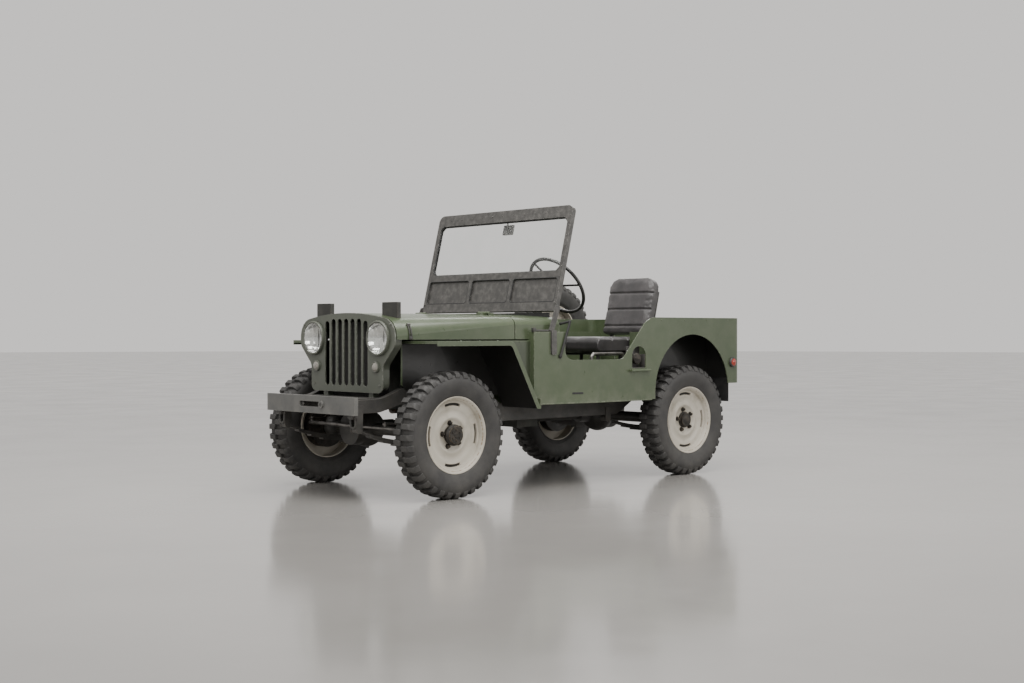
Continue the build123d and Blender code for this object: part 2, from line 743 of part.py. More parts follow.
def steering_column():
    """Column tube, and the steering box on the left rail with the drop arm's shaft."""
    box_x = DROP_ARM_X
    reach = (box_x - STEERING_WHEEL_CENTRE[0]) / cos(radians(COLUMN_ANGLE))
    tube = rod(column_point(30), column_point(reach), COLUMN_R)
    top_shaft = rod(column_point(-12), column_point(60), STEERING_SHAFT_R)
    box_in_y = DROP_ARM_Y + DROP_ARM_T + 10
    box = block(box_x - 62, box_x + 62, box_in_y, RAIL_OUT_Y - 4, RAIL_ARCH_TOP, RAIL_ARCH_TOP + 78)
    shaft = rod(
        (box_x, DROP_ARM_Y - 6, DROP_ARM_PIVOT_Z), (box_x, STEERING_Y, DROP_ARM_PIVOT_Z), DROP_SHAFT_R
    )
    return fused([tube, top_shaft, box, shaft])


def steering_wheel():
    """Thin rim, three spokes and a hub, square to the column."""
    rim = Torus(STEERING_WHEEL_R - STEERING_RIM_R, STEERING_RIM_R)
    boss = Cylinder(30, 34)
    hole = Cylinder(STEERING_SHAFT_R + RUNNING_GAP, 60)
    spokes = [
        Rot(0, 0, angle) * rod((0, 0, 0), (STEERING_WHEEL_R - STEERING_RIM_R, 0, 0), 7)
        for angle in (0, 120, 240)
    ]
    made = fused([rim, boss, *spokes]) - hole
    angle = radians(COLUMN_ANGLE)
    plane = Plane(origin=STEERING_WHEEL_CENTRE, x_dir=(0, 1, 0), z_dir=(-cos(angle), 0, sin(angle)))
    return plane * made


# Hinges, with one barrel on the moving piece and two on the fixed one


def hinge_pair(x, z, moving_leaf, fixed_leaf):
    """Moving and fixed halves of two hinges at (x, z); a leaf is (x0, x1, z0, z1)."""
    moving = []
    fixed = []
    for y in (-HINGE_Y, HINGE_Y):
        low = y - HINGE_BARREL_L / 2
        high = y + HINGE_BARREL_L / 2
        x0, x1, z0, z1 = moving_leaf
        bore = rod((x, low - 1, z), (x, high + 1, z), HINGE_PIN_R + RUNNING_GAP)
        leaf = block(x0, x1, low, high, z0, z1)
        moving.append(fused([rod((x, low, z), (x, high, z), HINGE_R), leaf]) - bore)
        fixed.append(rod((x, low - HINGE_EAR, z), (x, high + HINGE_EAR, z), HINGE_PIN_R))
        for ear in (low - HINGE_EAR, high + HINGE_GAP):
            x0, x1, z0, z1 = fixed_leaf
            end = ear + HINGE_EAR - HINGE_GAP
            fixed.append(rod((x, ear, z), (x, end, z), HINGE_R))
            fixed.append(block(x0, x1, ear, end, z0, z1))
    return moving, fixed


def hood_hinges():
    """Halves of the hinges between hood and cowl."""
    hood_leaf = (HOOD_HINGE_X + 3, HOOD_REAR_X + 40, HOOD_CROWN_Z - 13, HOOD_HINGE_Z)
    cowl_leaf = (HOOD_REAR_X - MOVING_GAP - 34, HOOD_HINGE_X - 3, HOOD_CROWN_Z - 13, HOOD_HINGE_Z)
    return hinge_pair(HOOD_HINGE_X, HOOD_HINGE_Z, hood_leaf, cowl_leaf)


def tailgate_hinges():
    """Halves of the hinges between tailgate and rear panel."""
    gate_leaf = (GATE_HINGE_X, TUB_REAR_X, GATE_HINGE_Z + 2, TAILGATE_LOW_Z + 36)
    sill_leaf = (GATE_HINGE_X, TUB_REAR_X, TAILGATE_LOW_Z - 40, GATE_HINGE_Z - 2)
    return hinge_pair(GATE_HINGE_X, GATE_HINGE_Z, gate_leaf, sill_leaf)


# Tub


def tub_plan(inset):
    """Plan of the tub's left side, pulled in by an amount, from the front to past the rear corner."""
    rows = [
        (TUB_FRONT_X, COWL_SIDE_HALF_W - inset, 0),
        (TAPER_X, TUB_HALF_W - inset, 0),
        (TUB_REAR_X + inset, TUB_HALF_W - inset, TUB_CORNER_R - inset),
        (TUB_REAR_X + inset, 0, 0),
        (TUB_FRONT_X, 0, 0),
    ]
    return outline(rows)


def side_outline():
    """Side view of a tub side: cowl, door cut-out, scallop, rear quarter and wheel arch."""
    arch_x = REAR_X
    rows = [
        (TUB_FRONT_X, FLOOR_TOP_Z, 0),
        (TUB_FRONT_X, LEDGE_Z, 0),
        (DASH_X - 4, LEDGE_Z, 0),
        (DASH_X, DOOR_LOW_Z, 60),
        (SCALLOP_LOW_X, DOOR_LOW_Z, 70),
        (SCALLOP_TOP_X, TUB_TOP_Z, 160),
        (TUB_REAR_X, TUB_TOP_Z, 0),
        (TUB_REAR_X, SIDE_REAR_LOW_Z, 0),
        (arch_x - ARCH_R + 100, SIDE_REAR_LOW_Z, 0),
        (arch_x - ARCH_R + 100, FLOOR_TOP_Z, 0),
    ]
    return outline(rows) - Pos(arch_x, ARCH_Z) * Circle(ARCH_R)


def side_panel():
    """Left tub side with its rear corner; the lower edge stands on the floor."""
    strip = upward(tub_plan(0), 0, 1200) - upward(tub_plan(SHEET), -1, 1201)
    strip -= block(TUB_REAR_X - 10, TUB_REAR_X + SHEET, -10, TUB_HALF_W - TUB_CORNER_R, 0, 1200)
    strip -= block(TUB_REAR_X - 10, TUB_FRONT_X + 10, -10, 300, -1, 1201)
    panel = strip & across(side_outline(), 0, TUB_HALF_W + 10)
    arch_rear = REAR_X - ARCH_R
    behind = block(TUB_REAR_X - 10, arch_rear + 200, 0, TUB_HALF_W + 10, 0, SIDE_REAR_LOW_Z)
    return panel - behind


def filler_recess():
    """Arched hole in the left side with the fuel filler behind it."""
    low = FILLER_Z - FILLER_HALF_H
    high = FILLER_Z + FILLER_HALF_H
    left = FILLER_X - FILLER_HALF_W
    right = FILLER_X + FILLER_HALF_W
    arch = FILLER_HALF_W - 1
    face = outline([(left, low, 10), (right, low, 10), (right, high, arch), (left, high, arch)])
    return across(face, TUB_HALF_W - 60, TUB_HALF_W + 10)


def side_handle():
    """Grab bar on the left side below the filler."""
    z = FILLER_Z - HANDLE_DROP
    out_y = TUB_HALF_W + HANDLE_OUT
    bar = rod((FILLER_X - HANDLE_HALF_L, out_y, z), (FILLER_X + HANDLE_HALF_L, out_y, z), HANDLE_R)
    feet = []
    for side in (-1, 1):
        x = FILLER_X + side * (HANDLE_HALF_L - HANDLE_R)
        feet.append(rod((x, TUB_HALF_W, z), (x, out_y, z), HANDLE_R))
    return fused([bar, *feet])


def floor_pan():
    """Front floor, the step up behind the seats and the load bed."""
    plan = tub_plan(0)
    front = upward(plan & rectangle(BED_FRONT_X, TUB_FRONT_X, 0, 800), RAIL_MID_TOP, FLOOR_TOP_Z)
    inner = tub_plan(SHEET)
    bed_plan = inner & rectangle(TUB_REAR_X, BED_FRONT_X, 0, 800)
    box_x = REAR_X
    bed_plan -= rectangle(
        box_x - WHEEL_BOX_HALF_L, box_x + WHEEL_BOX_HALF_L, WHEEL_BOX_IN_Y - SHEET, 800
    )
    bed = upward(bed_plan, BED_TOP_Z - SHEET, BED_TOP_Z)
    riser = block(BED_FRONT_X, BED_FRONT_X + SHEET, 0, TUB_HALF_W - SHEET, RAIL_MID_TOP, BED_TOP_Z)
    half = fused([front, bed, riser])
    return fused([half, other_side(half)])


def wheel_box():
    """Left box over a rear wheel, open below and to the outside."""
    x0 = REAR_X - WHEEL_BOX_HALF_L
    x1 = REAR_X + WHEEL_BOX_HALF_L
    out_y = TUB_HALF_W - SHEET
    outer = block(x0, x1, WHEEL_BOX_IN_Y - SHEET, out_y, BED_TOP_Z - SHEET, WHEEL_BOX_TOP_Z)
    inner = block(x0 + SHEET, x1 - SHEET, WHEEL_BOX_IN_Y, out_y + 1, 0, WHEEL_BOX_TOP_Z - SHEET)
    return outer - inner


def rear_panel():
    """Both rear corners and the sill below the tailgate."""
    edge = TUB_HALF_W - TUB_CORNER_R
    rows = [
        (-edge, SIDE_REAR_LOW_Z, 0),
        (edge, SIDE_REAR_LOW_Z, 0),
        (edge, TUB_TOP_Z, 0),
        (TAILGATE_HALF_W + MOVING_GAP, TUB_TOP_Z, 0),
        (TAILGATE_HALF_W + MOVING_GAP, TAILGATE_LOW_Z - MOVING_GAP, 0),
        (-TAILGATE_HALF_W - MOVING_GAP, TAILGATE_LOW_Z - MOVING_GAP, 0),
        (-TAILGATE_HALF_W - MOVING_GAP, TUB_TOP_Z, 0),
        (-edge, TUB_TOP_Z, 0),
    ]
    return fused([along(outline(rows), TUB_REAR_X, TUB_REAR_X + SHEET), *tailgate_hinges()[1]])


def tailgate():
    """Drop gate with three pressed ribs across its outer face."""
    plate = along(
        rectangle(-TAILGATE_HALF_W, TAILGATE_HALF_W, TAILGATE_LOW_Z, TUB_TOP_Z, 12),
        TUB_REAR_X - 4,
        TUB_REAR_X + SHEET,
    )
    rib_half = TAILGATE_HALF_W - 50
    ribs = []
    for i in range(1, 4):
        z = TAILGATE_LOW_Z + i * (TUB_TOP_Z - TAILGATE_LOW_Z) / 4
        ribs.append(along(rectangle(-rib_half, rib_half, z - 16, z + 16, 15), TUB_REAR_X - 12, TUB_REAR_X))
    return fused([plate, *ribs, *tailgate_hinges()[0]])


# Front end


def hood_section(x, inset, low):
    """Cross-section of hood or cowl at x: side, round shoulder, crowned top."""
    half = half_width_at(x) - inset
    foot_z = shoulder_at(x)[2]
    edges = [
        Line((-half, low), (half, low)),
        Line((half, low), (half, foot_z)),
        *hood_top(x, inset),
        Line((-half, foot_z), (-half, low)),
    ]
    return Plane.YZ.offset(x) * make_face(edges)


def hood_form(x0, x1, inset, low):
    """A filled form with the hood's section between two x values."""
    return loft([hood_section(x0, inset, low), hood_section(x1, inset, low)], ruled=True)


def hood_shell(x0, x1, low, thickness):
    """A sheet bent to the hood's section between two x values, open below and at both ends."""
    outside = hood_form(x0, x1, 0, low)
    inside = hood_form(x0 + 1, x1 - 1, thickness, low - 10)
    return outside - inside


def hood():
    """Hood sheet from behind the grille to its hinge line."""
    sheet = hood_shell(HOOD_FRONT_X, HOOD_REAR_X, HOOD_LOW_Z, HOOD_T)
    return fused([sheet, *hood_hinges()[0]])


def hood_blocks():
    """Two rest blocks for the folded windscreen, standing on the hood's front end."""
    post = along(rectangle(250, 390, 1000, 1112, 4), 172, 198)
    return both_sides(post - hood_form(HOOD_FRONT_X, HOOD_REAR_X, 0, HOOD_LOW_Z))


def cowl():
    """Cowl sheet with firewall, dash and side ledges."""
    front = HOOD_REAR_X - MOVING_GAP
    tub_x = TUB_FRONT_X
    sheet = hood_shell(front, DASH_X, LEDGE_Z, SHEET)
    skirt = hood_shell(front, tub_x, HOOD_LOW_Z, SHEET)
    wall_half = COWL_SIDE_HALF_W - SHEET
    wall_low = block(tub_x - SHEET, tub_x, -wall_half, wall_half, FLOOR_TOP_Z, LEDGE_Z)
    wall_top = hood_form(tub_x, tub_x - SHEET, 1, LEDGE_Z)
    dash = hood_form(DASH_X + SHEET, DASH_X, 1, LEDGE_Z - 60)
    ledge_rows = [
        (tub_x, 0, 0),
        (tub_x, COWL_SIDE_HALF_W, 0),
        (DASH_X, side_half_width_at(DASH_X), 0),
        (DASH_X, 0, 0),
    ]
    ledge = upward(outline(ledge_rows), LEDGE_Z, LEDGE_Z + SHEET)
    ledge -= hood_form(tub_x + 1, DASH_X - 1, SHEET + 2, LEDGE_Z - 20)
    column_hole = rod(column_point(200), column_point(1000), COLUMN_R + 6)
    whole = fused([sheet, skirt, wall_low, wall_top, dash, ledge, other_side(ledge), *hood_hinges()[1]])
    return whole - column_hole


def grille_outline(inset=0):
    """Front view of the grille: narrow below, wide at the lamps, crowned to the hood."""
    half = GRILLE_HALF_W - inset
    low_half = GRILLE_LOW_HALF_W - inset
    foot_z = shoulder_at(GRILLE_X)[2]
    low = outline(
        [
            (-low_half, GRILLE_LOW_Z + inset, 40),
            (low_half, GRILLE_LOW_Z + inset, 40),
            (low_half, 748, 60),
            (half, 862, 60),
            (half, foot_z, 0),
            (-half, foot_z, 0),
            (-half, 862, 60),
            (-low_half, 748, 60),
        ]
    )
    top = make_face([Line((-half, foot_z), (half, foot_z)), *hood_top(GRILLE_X, inset)])
    return low + top


def grille():
    """Slotted front panel with a rim behind it, two feet and holes for the lamps."""
    plate = along(grille_outline(), GRILLE_X - GRILLE_T, GRILLE_X)
    rim = along(grille_outline(14) - grille_outline(20), GRILLE_X - 60, GRILLE_X - GRILLE_T)
    feet = [
        block(GRILLE_X - 56, GRILLE_X - 14, y - 20, y + 20, FRONT_BEAM_TOP_Z, GRILLE_LOW_Z + 20)
        for y in (-RADIATOR_HALF_W + 30, RADIATOR_HALF_W - 30)
    ]
    panel = fused([plate, rim, *feet])
    for i in range(SLOT_COUNT):
        y = (i - (SLOT_COUNT - 1) / 2) * SLOT_PITCH
        top = SLOT_TOP_Z if abs(y) < 2.5 * SLOT_PITCH else SLOT_TOP_Z - 12
        slot = rectangle(y - SLOT_W / 2, y + SLOT_W / 2, SLOT_LOW_Z, top, SLOT_W / 2 - 0.5)
        panel -= along(slot, GRILLE_X - GRILLE_T - 1, GRILLE_X + 1)
    for y, z, radius in ((HEADLAMP_Y, HEADLAMP_Z, BOWL_R), (MARKER_Y, MARKER_Z, MARKER_STEM_R)):
        hole = rod((GRILLE_X - 20, y, z), (GRILLE_X + 1, y, z), radius)
        panel -= hole
        panel -= other_side(hole)
    return panel


def fender_path(drop):
    """Side view of a fender's sheet: level top, then straight down to the tub's foot."""
    rows = [
        (FENDER_FRONT_X, FENDER_TOP_Z, 0),
        (FENDER_BEND_X, FENDER_TOP_Z, 60),
        (TUB_FRONT_X, FENDER_FOOT_Z, 0),
        (TUB_FRONT_X + drop * 1.15, FENDER_FOOT_Z, 0),
        (FENDER_BEND_X + drop * 0.6, FENDER_TOP_Z - drop, max(60 - drop, 20)),
        (FENDER_FRONT_X, FENDER_TOP_Z - drop, 0),
    ]
    return outline(rows)


def fender():
    """Left fender: top and slope, turned-down lip, apron on the rail and cheek against the tub."""
    top = across(fender_path(FENDER_T), RAIL_OUT_Y, FENDER_OUT_Y)
    lip = across(fender_path(FENDER_LIP), FENDER_OUT_Y - FENDER_T, FENDER_OUT_Y)
    apron_rows = [
        (FENDER_FRONT_X, FENDER_TOP_Z, 0),
        (TUB_FRONT_X, FENDER_TOP_Z, 0),
        (TUB_FRONT_X, 560, 0),
        (-380, 560, 0),
        (-250, 590, 0),
        (100, 590, 0),
        (FENDER_FRONT_X, 640, 0),
    ]
    apron = across(outline(apron_rows), RAIL_OUT_Y, RAIL_OUT_Y + FENDER_T)
    shelf = block(TUB_FRONT_X, FENDER_BEND_X, RAIL_OUT_Y, CHEEK_Y, FENDER_TOP_Z - FENDER_T, FENDER_TOP_Z)
    cheek_rows = [
        (FENDER_BEND_X, FENDER_TOP_Z, 0),
        (TUB_FRONT_X, FENDER_TOP_Z, 0),
        (TUB_FRONT_X, FENDER_FOOT_Z, 0),
    ]
    cheek = across(outline(cheek_rows), CHEEK_Y - FENDER_T, CHEEK_Y)
    front_low = FENDER_TOP_Z - FENDER_FRONT_LIP
    front_back = FENDER_FRONT_X - FENDER_T
    front_lip = block(front_back, FENDER_FRONT_X, RAIL_OUT_Y, FENDER_OUT_Y, front_low, FENDER_TOP_Z)
    foot_x = TUB_FRONT_X + FENDER_T
    foot = block(TUB_FRONT_X, foot_x, CHEEK_Y - 60, FENDER_OUT_Y, FENDER_FOOT_Z, FENDER_FOOT_Z + 60)
    return fused([top, lip, front_lip, apron, shelf, cheek, foot])


def radiator():
    """Radiator standing on the front crossmember."""
    front = RADIATOR_REAR_X + RADIATOR_T
    return block(
        RADIATOR_REAR_X, front, -RADIATOR_HALF_W, RADIATOR_HALF_W, FRONT_BEAM_TOP_Z, RADIATOR_TOP_Z
    )


# Windscreen, drawn upright in its own plane and leaned back about the pivot


def screen_place(shape):
    """Puts a piece drawn with x across and y up the screen into its leaning place."""
    angle = radians(SCREEN_LEAN)
    plane = Plane(
        origin=(PIVOT_X, 0, PIVOT_Z), x_dir=(0, 1, 0), z_dir=(cos(angle), 0, sin(angle))
    )
    return plane * shape


def windscreen_frame():
    """Frame with one wide opening, three pressed panels below it and a hole for each pivot pin."""
    face = outline(
        [
            (-SCREEN_HALF_W, SCREEN_LOW, 14),
            (SCREEN_HALF_W, SCREEN_LOW, 14),
            (SCREEN_HALF_W, SCREEN_TOP, 45),
            (-SCREEN_HALF_W, SCREEN_TOP, 45),
        ]
    )
    face -= rectangle(-GLASS_HALF_W, GLASS_HALF_W, GLASS_LOW, GLASS_TOP, 40)
    frame = extrude(Plane.XY.offset(-SCREEN_T / 2) * face, amount=SCREEN_T)
    edge = SCREEN_HALF_W - 25
    third = edge / 3
    panels = [(-edge, -third - 6), (-third + 23, third - 23), (third + 6, edge)]
    for left, right in panels:
        pocket = rectangle(left, right, PANEL_LOW, PANEL_TOP, 20)
        for side in (-1, 1):
            floor = Plane.XY.offset(side * (SCREEN_T / 2 - PANEL_DEPTH))
            frame -= extrude(floor * pocket, amount=side * SCREEN_T)
    pin_hole = Rot(0, 90, 0) * Cylinder(PIN_R + RUNNING_GAP, 2 * PIN_REACH + 4)
    for side in (-1, 1):
        frame -= Pos(side * SCREEN_HALF_W, 0, 0) * pin_hole
    return screen_place(frame)


def screen_bracket():
    """Left bracket of the windscreen: plate on the tub side, step over the ledge, ear and pivot pin."""
    foot_x, foot_z = BRACKET_FOOT
    ledge_top = LEDGE_Z + SHEET
    half = BRACKET_HALF_W
    step_top = ledge_top + BRACKET_T
    out_y = side_half_width_at(foot_x - half) + BRACKET_T
    low_rows = [
        (foot_x - half, foot_z, 10),
        (foot_x + half, foot_z, 10),
        (foot_x + half, step_top, 0),
        (foot_x - half, step_top, 0),
    ]
    low = across(outline(low_rows), side_half_width_at(foot_x + half) - 2, out_y)
    low -= upward(tub_plan(0), 0, ledge_top)
    step = block(foot_x - half, foot_x + half, BRACKET_IN_Y, out_y, ledge_top, step_top)
    ear_rows = [
        (foot_x - half, ledge_top, 0),
        (foot_x + half, ledge_top, 0),
        (PIVOT_X + half, PIVOT_Z + half, 0.8 * half),
        (PIVOT_X - half, PIVOT_Z + half, 0.8 * half),
    ]
    ear = across(outline(ear_rows), BRACKET_IN_Y, BRACKET_IN_Y + BRACKET_T)
    pin = rod((PIVOT_X, SCREEN_HALF_W - PIN_REACH, PIVOT_Z), (PIVOT_X, BRACKET_IN_Y + 2, PIVOT_Z), PIN_R)
    return fused([low, step, ear, pin])


def windscreen_glass():
    """Single pane filling the frame's opening."""
    pane = rectangle(-GLASS_HALF_W, GLASS_HALF_W, GLASS_LOW, GLASS_TOP, 40)
    return screen_place(extrude(Plane.XY.offset(-GLASS_T / 2) * pane, amount=GLASS_T))


# Lamps, seats and the rest


def headlamps():
    """Round lamp bowls with a domed glass, through the grille."""
    seat = (GRILLE_X, HEADLAMP_Y, HEADLAMP_Z)
    bowl = rod((GRILLE_X - 50, HEADLAMP_Y, HEADLAMP_Z), seat, BOWL_R)
    rim = rod(seat, (GRILLE_X + LAMP_RIM_T, HEADLAMP_Y, HEADLAMP_Z), HEADLAMP_R)
    return both_sides(fused([bowl, rim]))


def headlamp_glass():
    """Domed lenses on the headlamps."""
    front = GRILLE_X + LAMP_RIM_T
    profile = make_face(
        [
            Line((0, 0), (LENS_R, 0)),
            RadiusArc((LENS_R, 0), (0, LENS_RISE), -(LENS_R**2 + LENS_RISE**2) / (2 * LENS_RISE)),
            Line((0, LENS_RISE), (0, 0)),
        ]
    )
    dome = revolve(profile, Axis.Y)
    return both_sides(Pos(front, HEADLAMP_Y, HEADLAMP_Z) * Rot(0, 0, -90) * dome)


def marker_lamps():
    """Small round lamps below the headlamps."""
    seat = (GRILLE_X, MARKER_Y, MARKER_Z)
    stem = rod((GRILLE_X - 30, MARKER_Y, MARKER_Z), seat, MARKER_STEM_R)
    lamp = rod(seat, (GRILLE_X + MARKER_T, MARKER_Y, MARKER_Z), MARKER_R)
    return both_sides(fused([stem, lamp]))


def rear_lamps():
    """Round lamps on the rear corners and one on the left side near the rear."""
    corner_y = (TAILGATE_HALF_W + TUB_HALF_W - TUB_CORNER_R) / 2
    corner = rod((TUB_REAR_X - 30, corner_y, REAR_LAMP_Z), (TUB_REAR_X, corner_y, REAR_LAMP_Z), REAR_LAMP_R)
    x = TUB_REAR_X + SIDE_LAMP_AHEAD
    side = rod((x, TUB_HALF_W, SIDE_LAMP_Z), (x, TUB_HALF_W + 24, SIDE_LAMP_Z), SIDE_LAMP_R)
    return together([corner, other_side(corner), side])


def seat_frame():
    """The driver's seat's tube base, standing on the floor, with posts behind its back."""
    tube = 12
    rail_z = CUSHION_LOW_Z - tube
    back = seat_back_plane()
    post_w = -(BACK_T + tube + RUNNING_GAP)
    rear_leg_x = BED_FRONT_X + SHEET + tube + 10
    bars = []
    for u in (-SEAT_HALF_W + 40, SEAT_HALF_W - 40):
        y = SEAT_Y + u
        foot = back.from_local_coords((u, -105, post_w))
        head = back.from_local_coords((u, BACK_H - 100, post_w))
        bars += [
            rod((SEAT_FRONT_X - 30, y, rail_z), (foot.X, y, rail_z), tube),
            rod((SEAT_FRONT_X - 45, y, FLOOR_TOP_Z), (SEAT_FRONT_X - 45, y, rail_z), tube),
            rod((rear_leg_x, y, FLOOR_TOP_Z), (rear_leg_x, y, rail_z), tube),
            rod(tuple(foot), tuple(head), tube),
        ]
    return fused(bars)


def seat_cushion():
    """The driver's seat cushion, plain."""
    face = outline(
        [
            (SEAT_FRONT_X, CUSHION_LOW_Z, 20),
            (SEAT_FRONT_X, CUSHION_LOW_Z + CUSHION_T, 35),
            (SEAT_BACK_X, CUSHION_LOW_Z + CUSHION_T, 20),
            (SEAT_BACK_X, CUSHION_LOW_Z, 20),
        ]
    )
    return across(face, SEAT_Y - SEAT_HALF_W, SEAT_Y + SEAT_HALF_W)


def seat_back():
    """The driver's seat back, plain, with round upper corners."""
    face = outline(
        [
            (-SEAT_HALF_W, 0, 25),
            (SEAT_HALF_W, 0, 25),
            (SEAT_HALF_W, BACK_H, 90),
            (-SEAT_HALF_W, BACK_H, 90),
        ]
    )
    return extrude(seat_back_plane() * face, amount=-BACK_T)


def seat_back_plane():
    """Front face of the seat back, with x across and y up it."""
    angle = radians(BACK_LEAN)
    return Plane(
        origin=(SEAT_BACK_X - 22, SEAT_Y, CUSHION_LOW_Z + CUSHION_T + 12),
        x_dir=(0, 1, 0),
        z_dir=(cos(angle), 0, sin(angle)),
    )


def fuel_tank():
    """Tank under the driver's seat, standing on the floor."""
    x0 = BED_FRONT_X + SHEET + 60
    x1 = SEAT_FRONT_X - 75
    half = SEAT_HALF_W - 66
    return block(x0, x1, SEAT_Y - half, SEAT_Y + half, FLOOR_TOP_Z, CUSHION_LOW_Z - 72)


def engine_block():
    """The engine as one plain block on the crossmembers."""
    front = RADIATOR_REAR_X - 12
    return block(GEARBOX_FRONT_X, front, -ENGINE_HALF_W, ENGINE_HALF_W, ENGINE_LOW_Z, ENGINE_TOP_Z)


def gearbox():
    """Gearbox and transfer case as plain blocks behind the engine."""
    half = GEARBOX_HALF_W
    box = block(GEARBOX_REAR_X, GEARBOX_FRONT_X, -half, half, GEARBOX_LOW_Z, RAIL_MID_TOP)
    case = block(CASE_REAR_X, GEARBOX_REAR_X, DIFF_Y - 80, half, AXLE_Z - 30, RAIL_MID_TOP - 6)
    return fused([box, case])


def propeller_shafts():
    """Shafts from the transfer case to both final drives."""
    front = rod((-PINION_REACH, DIFF_Y, AXLE_Z), (GEARBOX_REAR_X, DIFF_Y, AXLE_Z), 25)
    rear = rod((CASE_REAR_X, DIFF_Y, AXLE_Z), (REAR_X + PINION_REACH, DIFF_Y, AXLE_Z), 25)
    return together([front, rear])


def exhaust():
    """Pipe from the engine under the right rail to a silencer below the floor, with an outlet at the side."""
    silencer_y = -(RAIL_OUT_Y + SILENCER_R + 12)
    silencer_z = RAIL_MID_TOP - SILENCER_R - 8
    points = [
        (EXHAUST_X, -ENGINE_HALF_W, EXHAUST_Z),
        (EXHAUST_X, -ENGINE_HALF_W - 60, EXHAUST_Z),
        (EXHAUST_X, -ENGINE_HALF_W - 60, EXHAUST_Z - 140),
        (EXHAUST_X - 170, silencer_y, silencer_z),
        (SILENCER_REAR_X - 150, silencer_y, silencer_z),
        (SILENCER_REAR_X - 210, -TUB_HALF_W + 40, silencer_z - 10),
    ]
    pipes = [rod(start, end, PIPE_R) for start, end in zip(points, points[1:])]
    bends = [Pos(*point) * Sphere(PIPE_R) for point in points[1:-1]]
    front = (SILENCER_FRONT_X, silencer_y, silencer_z)
    rear = (SILENCER_REAR_X, silencer_y, silencer_z)
    hangers = [
        block(x - 12, x + 12, silencer_y - 20, silencer_y + 20, silencer_z, RAIL_MID_TOP)
        for x in (SILENCER_FRONT_X - 60, SILENCER_REAR_X + 60)
    ]
    return fused([*pipes, *bends, rod(front, rear, SILENCER_R), *hangers])


def rear_flap():
    """Left flap hanging from the bed behind a rear wheel."""
    x = REAR_X - WHEEL_BOX_HALF_L
    out_y = TUB_HALF_W - SHEET - 10
    return block(x - FLAP_T, x, out_y - FLAP_W, out_y, FLAP_LOW_Z, BED_TOP_Z - SHEET)


def levers():
    """Gear and transfer levers standing on the floor."""
    made = []
    for x, y, lean, height in LEVERS:
        base = rod((x, y, FLOOR_TOP_Z), (x, y, FLOOR_TOP_Z + 20), 14)
        stick = rod((x, y, FLOOR_TOP_Z + 15), (x + lean, y, FLOOR_TOP_Z + height), 7)
        knob = Pos(x + lean, y, FLOOR_TOP_Z + height) * Sphere(LEVER_KNOB_R)
        made.append(fused([base, stick, knob]))
    return together(made)


def spare_carrier():
    """Bracket on the right side that carries the spare wheel."""
    y = -TUB_HALF_W
    plate = across(
        rectangle(SPARE_X - 110, SPARE_X + 110, SPARE_Z - 30, SPARE_Z + 90, 10), y - SPARE_PLATE_T, y
    )
    boss = rod((SPARE_X, y, SPARE_Z), (SPARE_X, spare_mid_y() - WHEEL_SEAT_Y, SPARE_Z), 88)
    stud = rod((SPARE_X, y, SPARE_Z), (SPARE_X, spare_mid_y() - 40, SPARE_Z), 20)
    return fused([plate, boss, stud])


def spare_mid_y():
    """Mid-plane of the spare wheel."""
    return -(SPARE_IN_Y + TYRE_W / 2)


def at_spare(shape):
    """A wheel piece put on the spare carrier, outer face outward."""
    return Pos(SPARE_X, spare_mid_y(), SPARE_Z) * other_side(shape)


def build():
    """Every node by name."""
    rail = frame_rail()
    knuckle_left = knuckle()
    tyre_shape = tyre()
    wheel_shape = wheel()
    hubs = {"front": hub(48, 62), "rear": hub(44, 40)}
    panel = side_panel()
    fender_left = fender()
    springs = [
        leaf_spring(axle_x, front_x, rear_x, eye_z)
        for axle_x, (front_x, rear_x, eye_z, _, _) in zip((0, REAR_X), SPRING_EYES)
    ]
    nodes = {
        "frame_rail_left": rail,
        "frame_rail_right": other_side(rail),
        "crossmembers": crossmembers(),
        "front_bumper": front_bumper(),
        "front_axle": front_axle(),
        "rear_axle": rear_axle(),
        "leaf_springs": together([both_sides(spring) for spring in springs]),
        "knuckle_left": knuckle_left,
        "knuckle_right": other_side(knuckle_left),
        "tie_rod": tie_rod(),
        "bell_crank": bell_crank(),
        "drag_link": drag_link(),
        "drop_arm": drop_arm(),
        "steering_column": steering_column(),
        "steering_wheel": steering_wheel(),
        "floor_pan": floor_pan(),
        "side_panel_left": fused([panel - filler_recess(), side_handle()]),
        "side_panel_right": other_side(panel),
        "wheel_boxes": both_sides(wheel_box()),
        "rear_flaps": both_sides(rear_flap()),
        "rear_panel": rear_panel(),
        "tailgate": tailgate(),
        "cowl": cowl(),
        "hood": hood(),
        "hood_blocks": hood_blocks(),
        "grille": grille(),
        "fender_left": fender_left,
        "fender_right": other_side(fender_left),
        "radiator": radiator(),
        "windscreen_frame": windscreen_frame(),
        "windscreen_glass": windscreen_glass(),
        "screen_brackets": both_sides(screen_bracket()),
        "headlamps": headlamps(),
        "headlamp_glass": headlamp_glass(),
        "marker_lamps": marker_lamps(),
        "rear_lamps": rear_lamps(),
        "seat_frame": seat_frame(),
        "seat_cushion": seat_cushion(),
        "seat_back": seat_back(),
        "fuel_tank": fuel_tank(),
        "engine_block": engine_block(),
        "gearbox": gearbox(),
        "propeller_shafts": propeller_shafts(),
        "exhaust": exhaust(),
        "levers": levers(),
        "spare_carrier": spare_carrier(),
        "spare_tyre": at_spare(tyre_shape),
        "spare_wheel": at_spare(wheel_shape),
    }
    for axle, x in (("front", 0), ("rear", REAR_X)):
        for name, side in (("left", 1), ("right", -1)):
            nodes[f"tyre_{axle}_{name}"] = at_wheel(tyre_shape, x, side)
            nodes[f"wheel_{axle}_{name}"] = at_wheel(wheel_shape, x, side)
            nodes[f"hub_{axle}_{name}"] = at_wheel(hubs[axle], x, side)
    return nodes


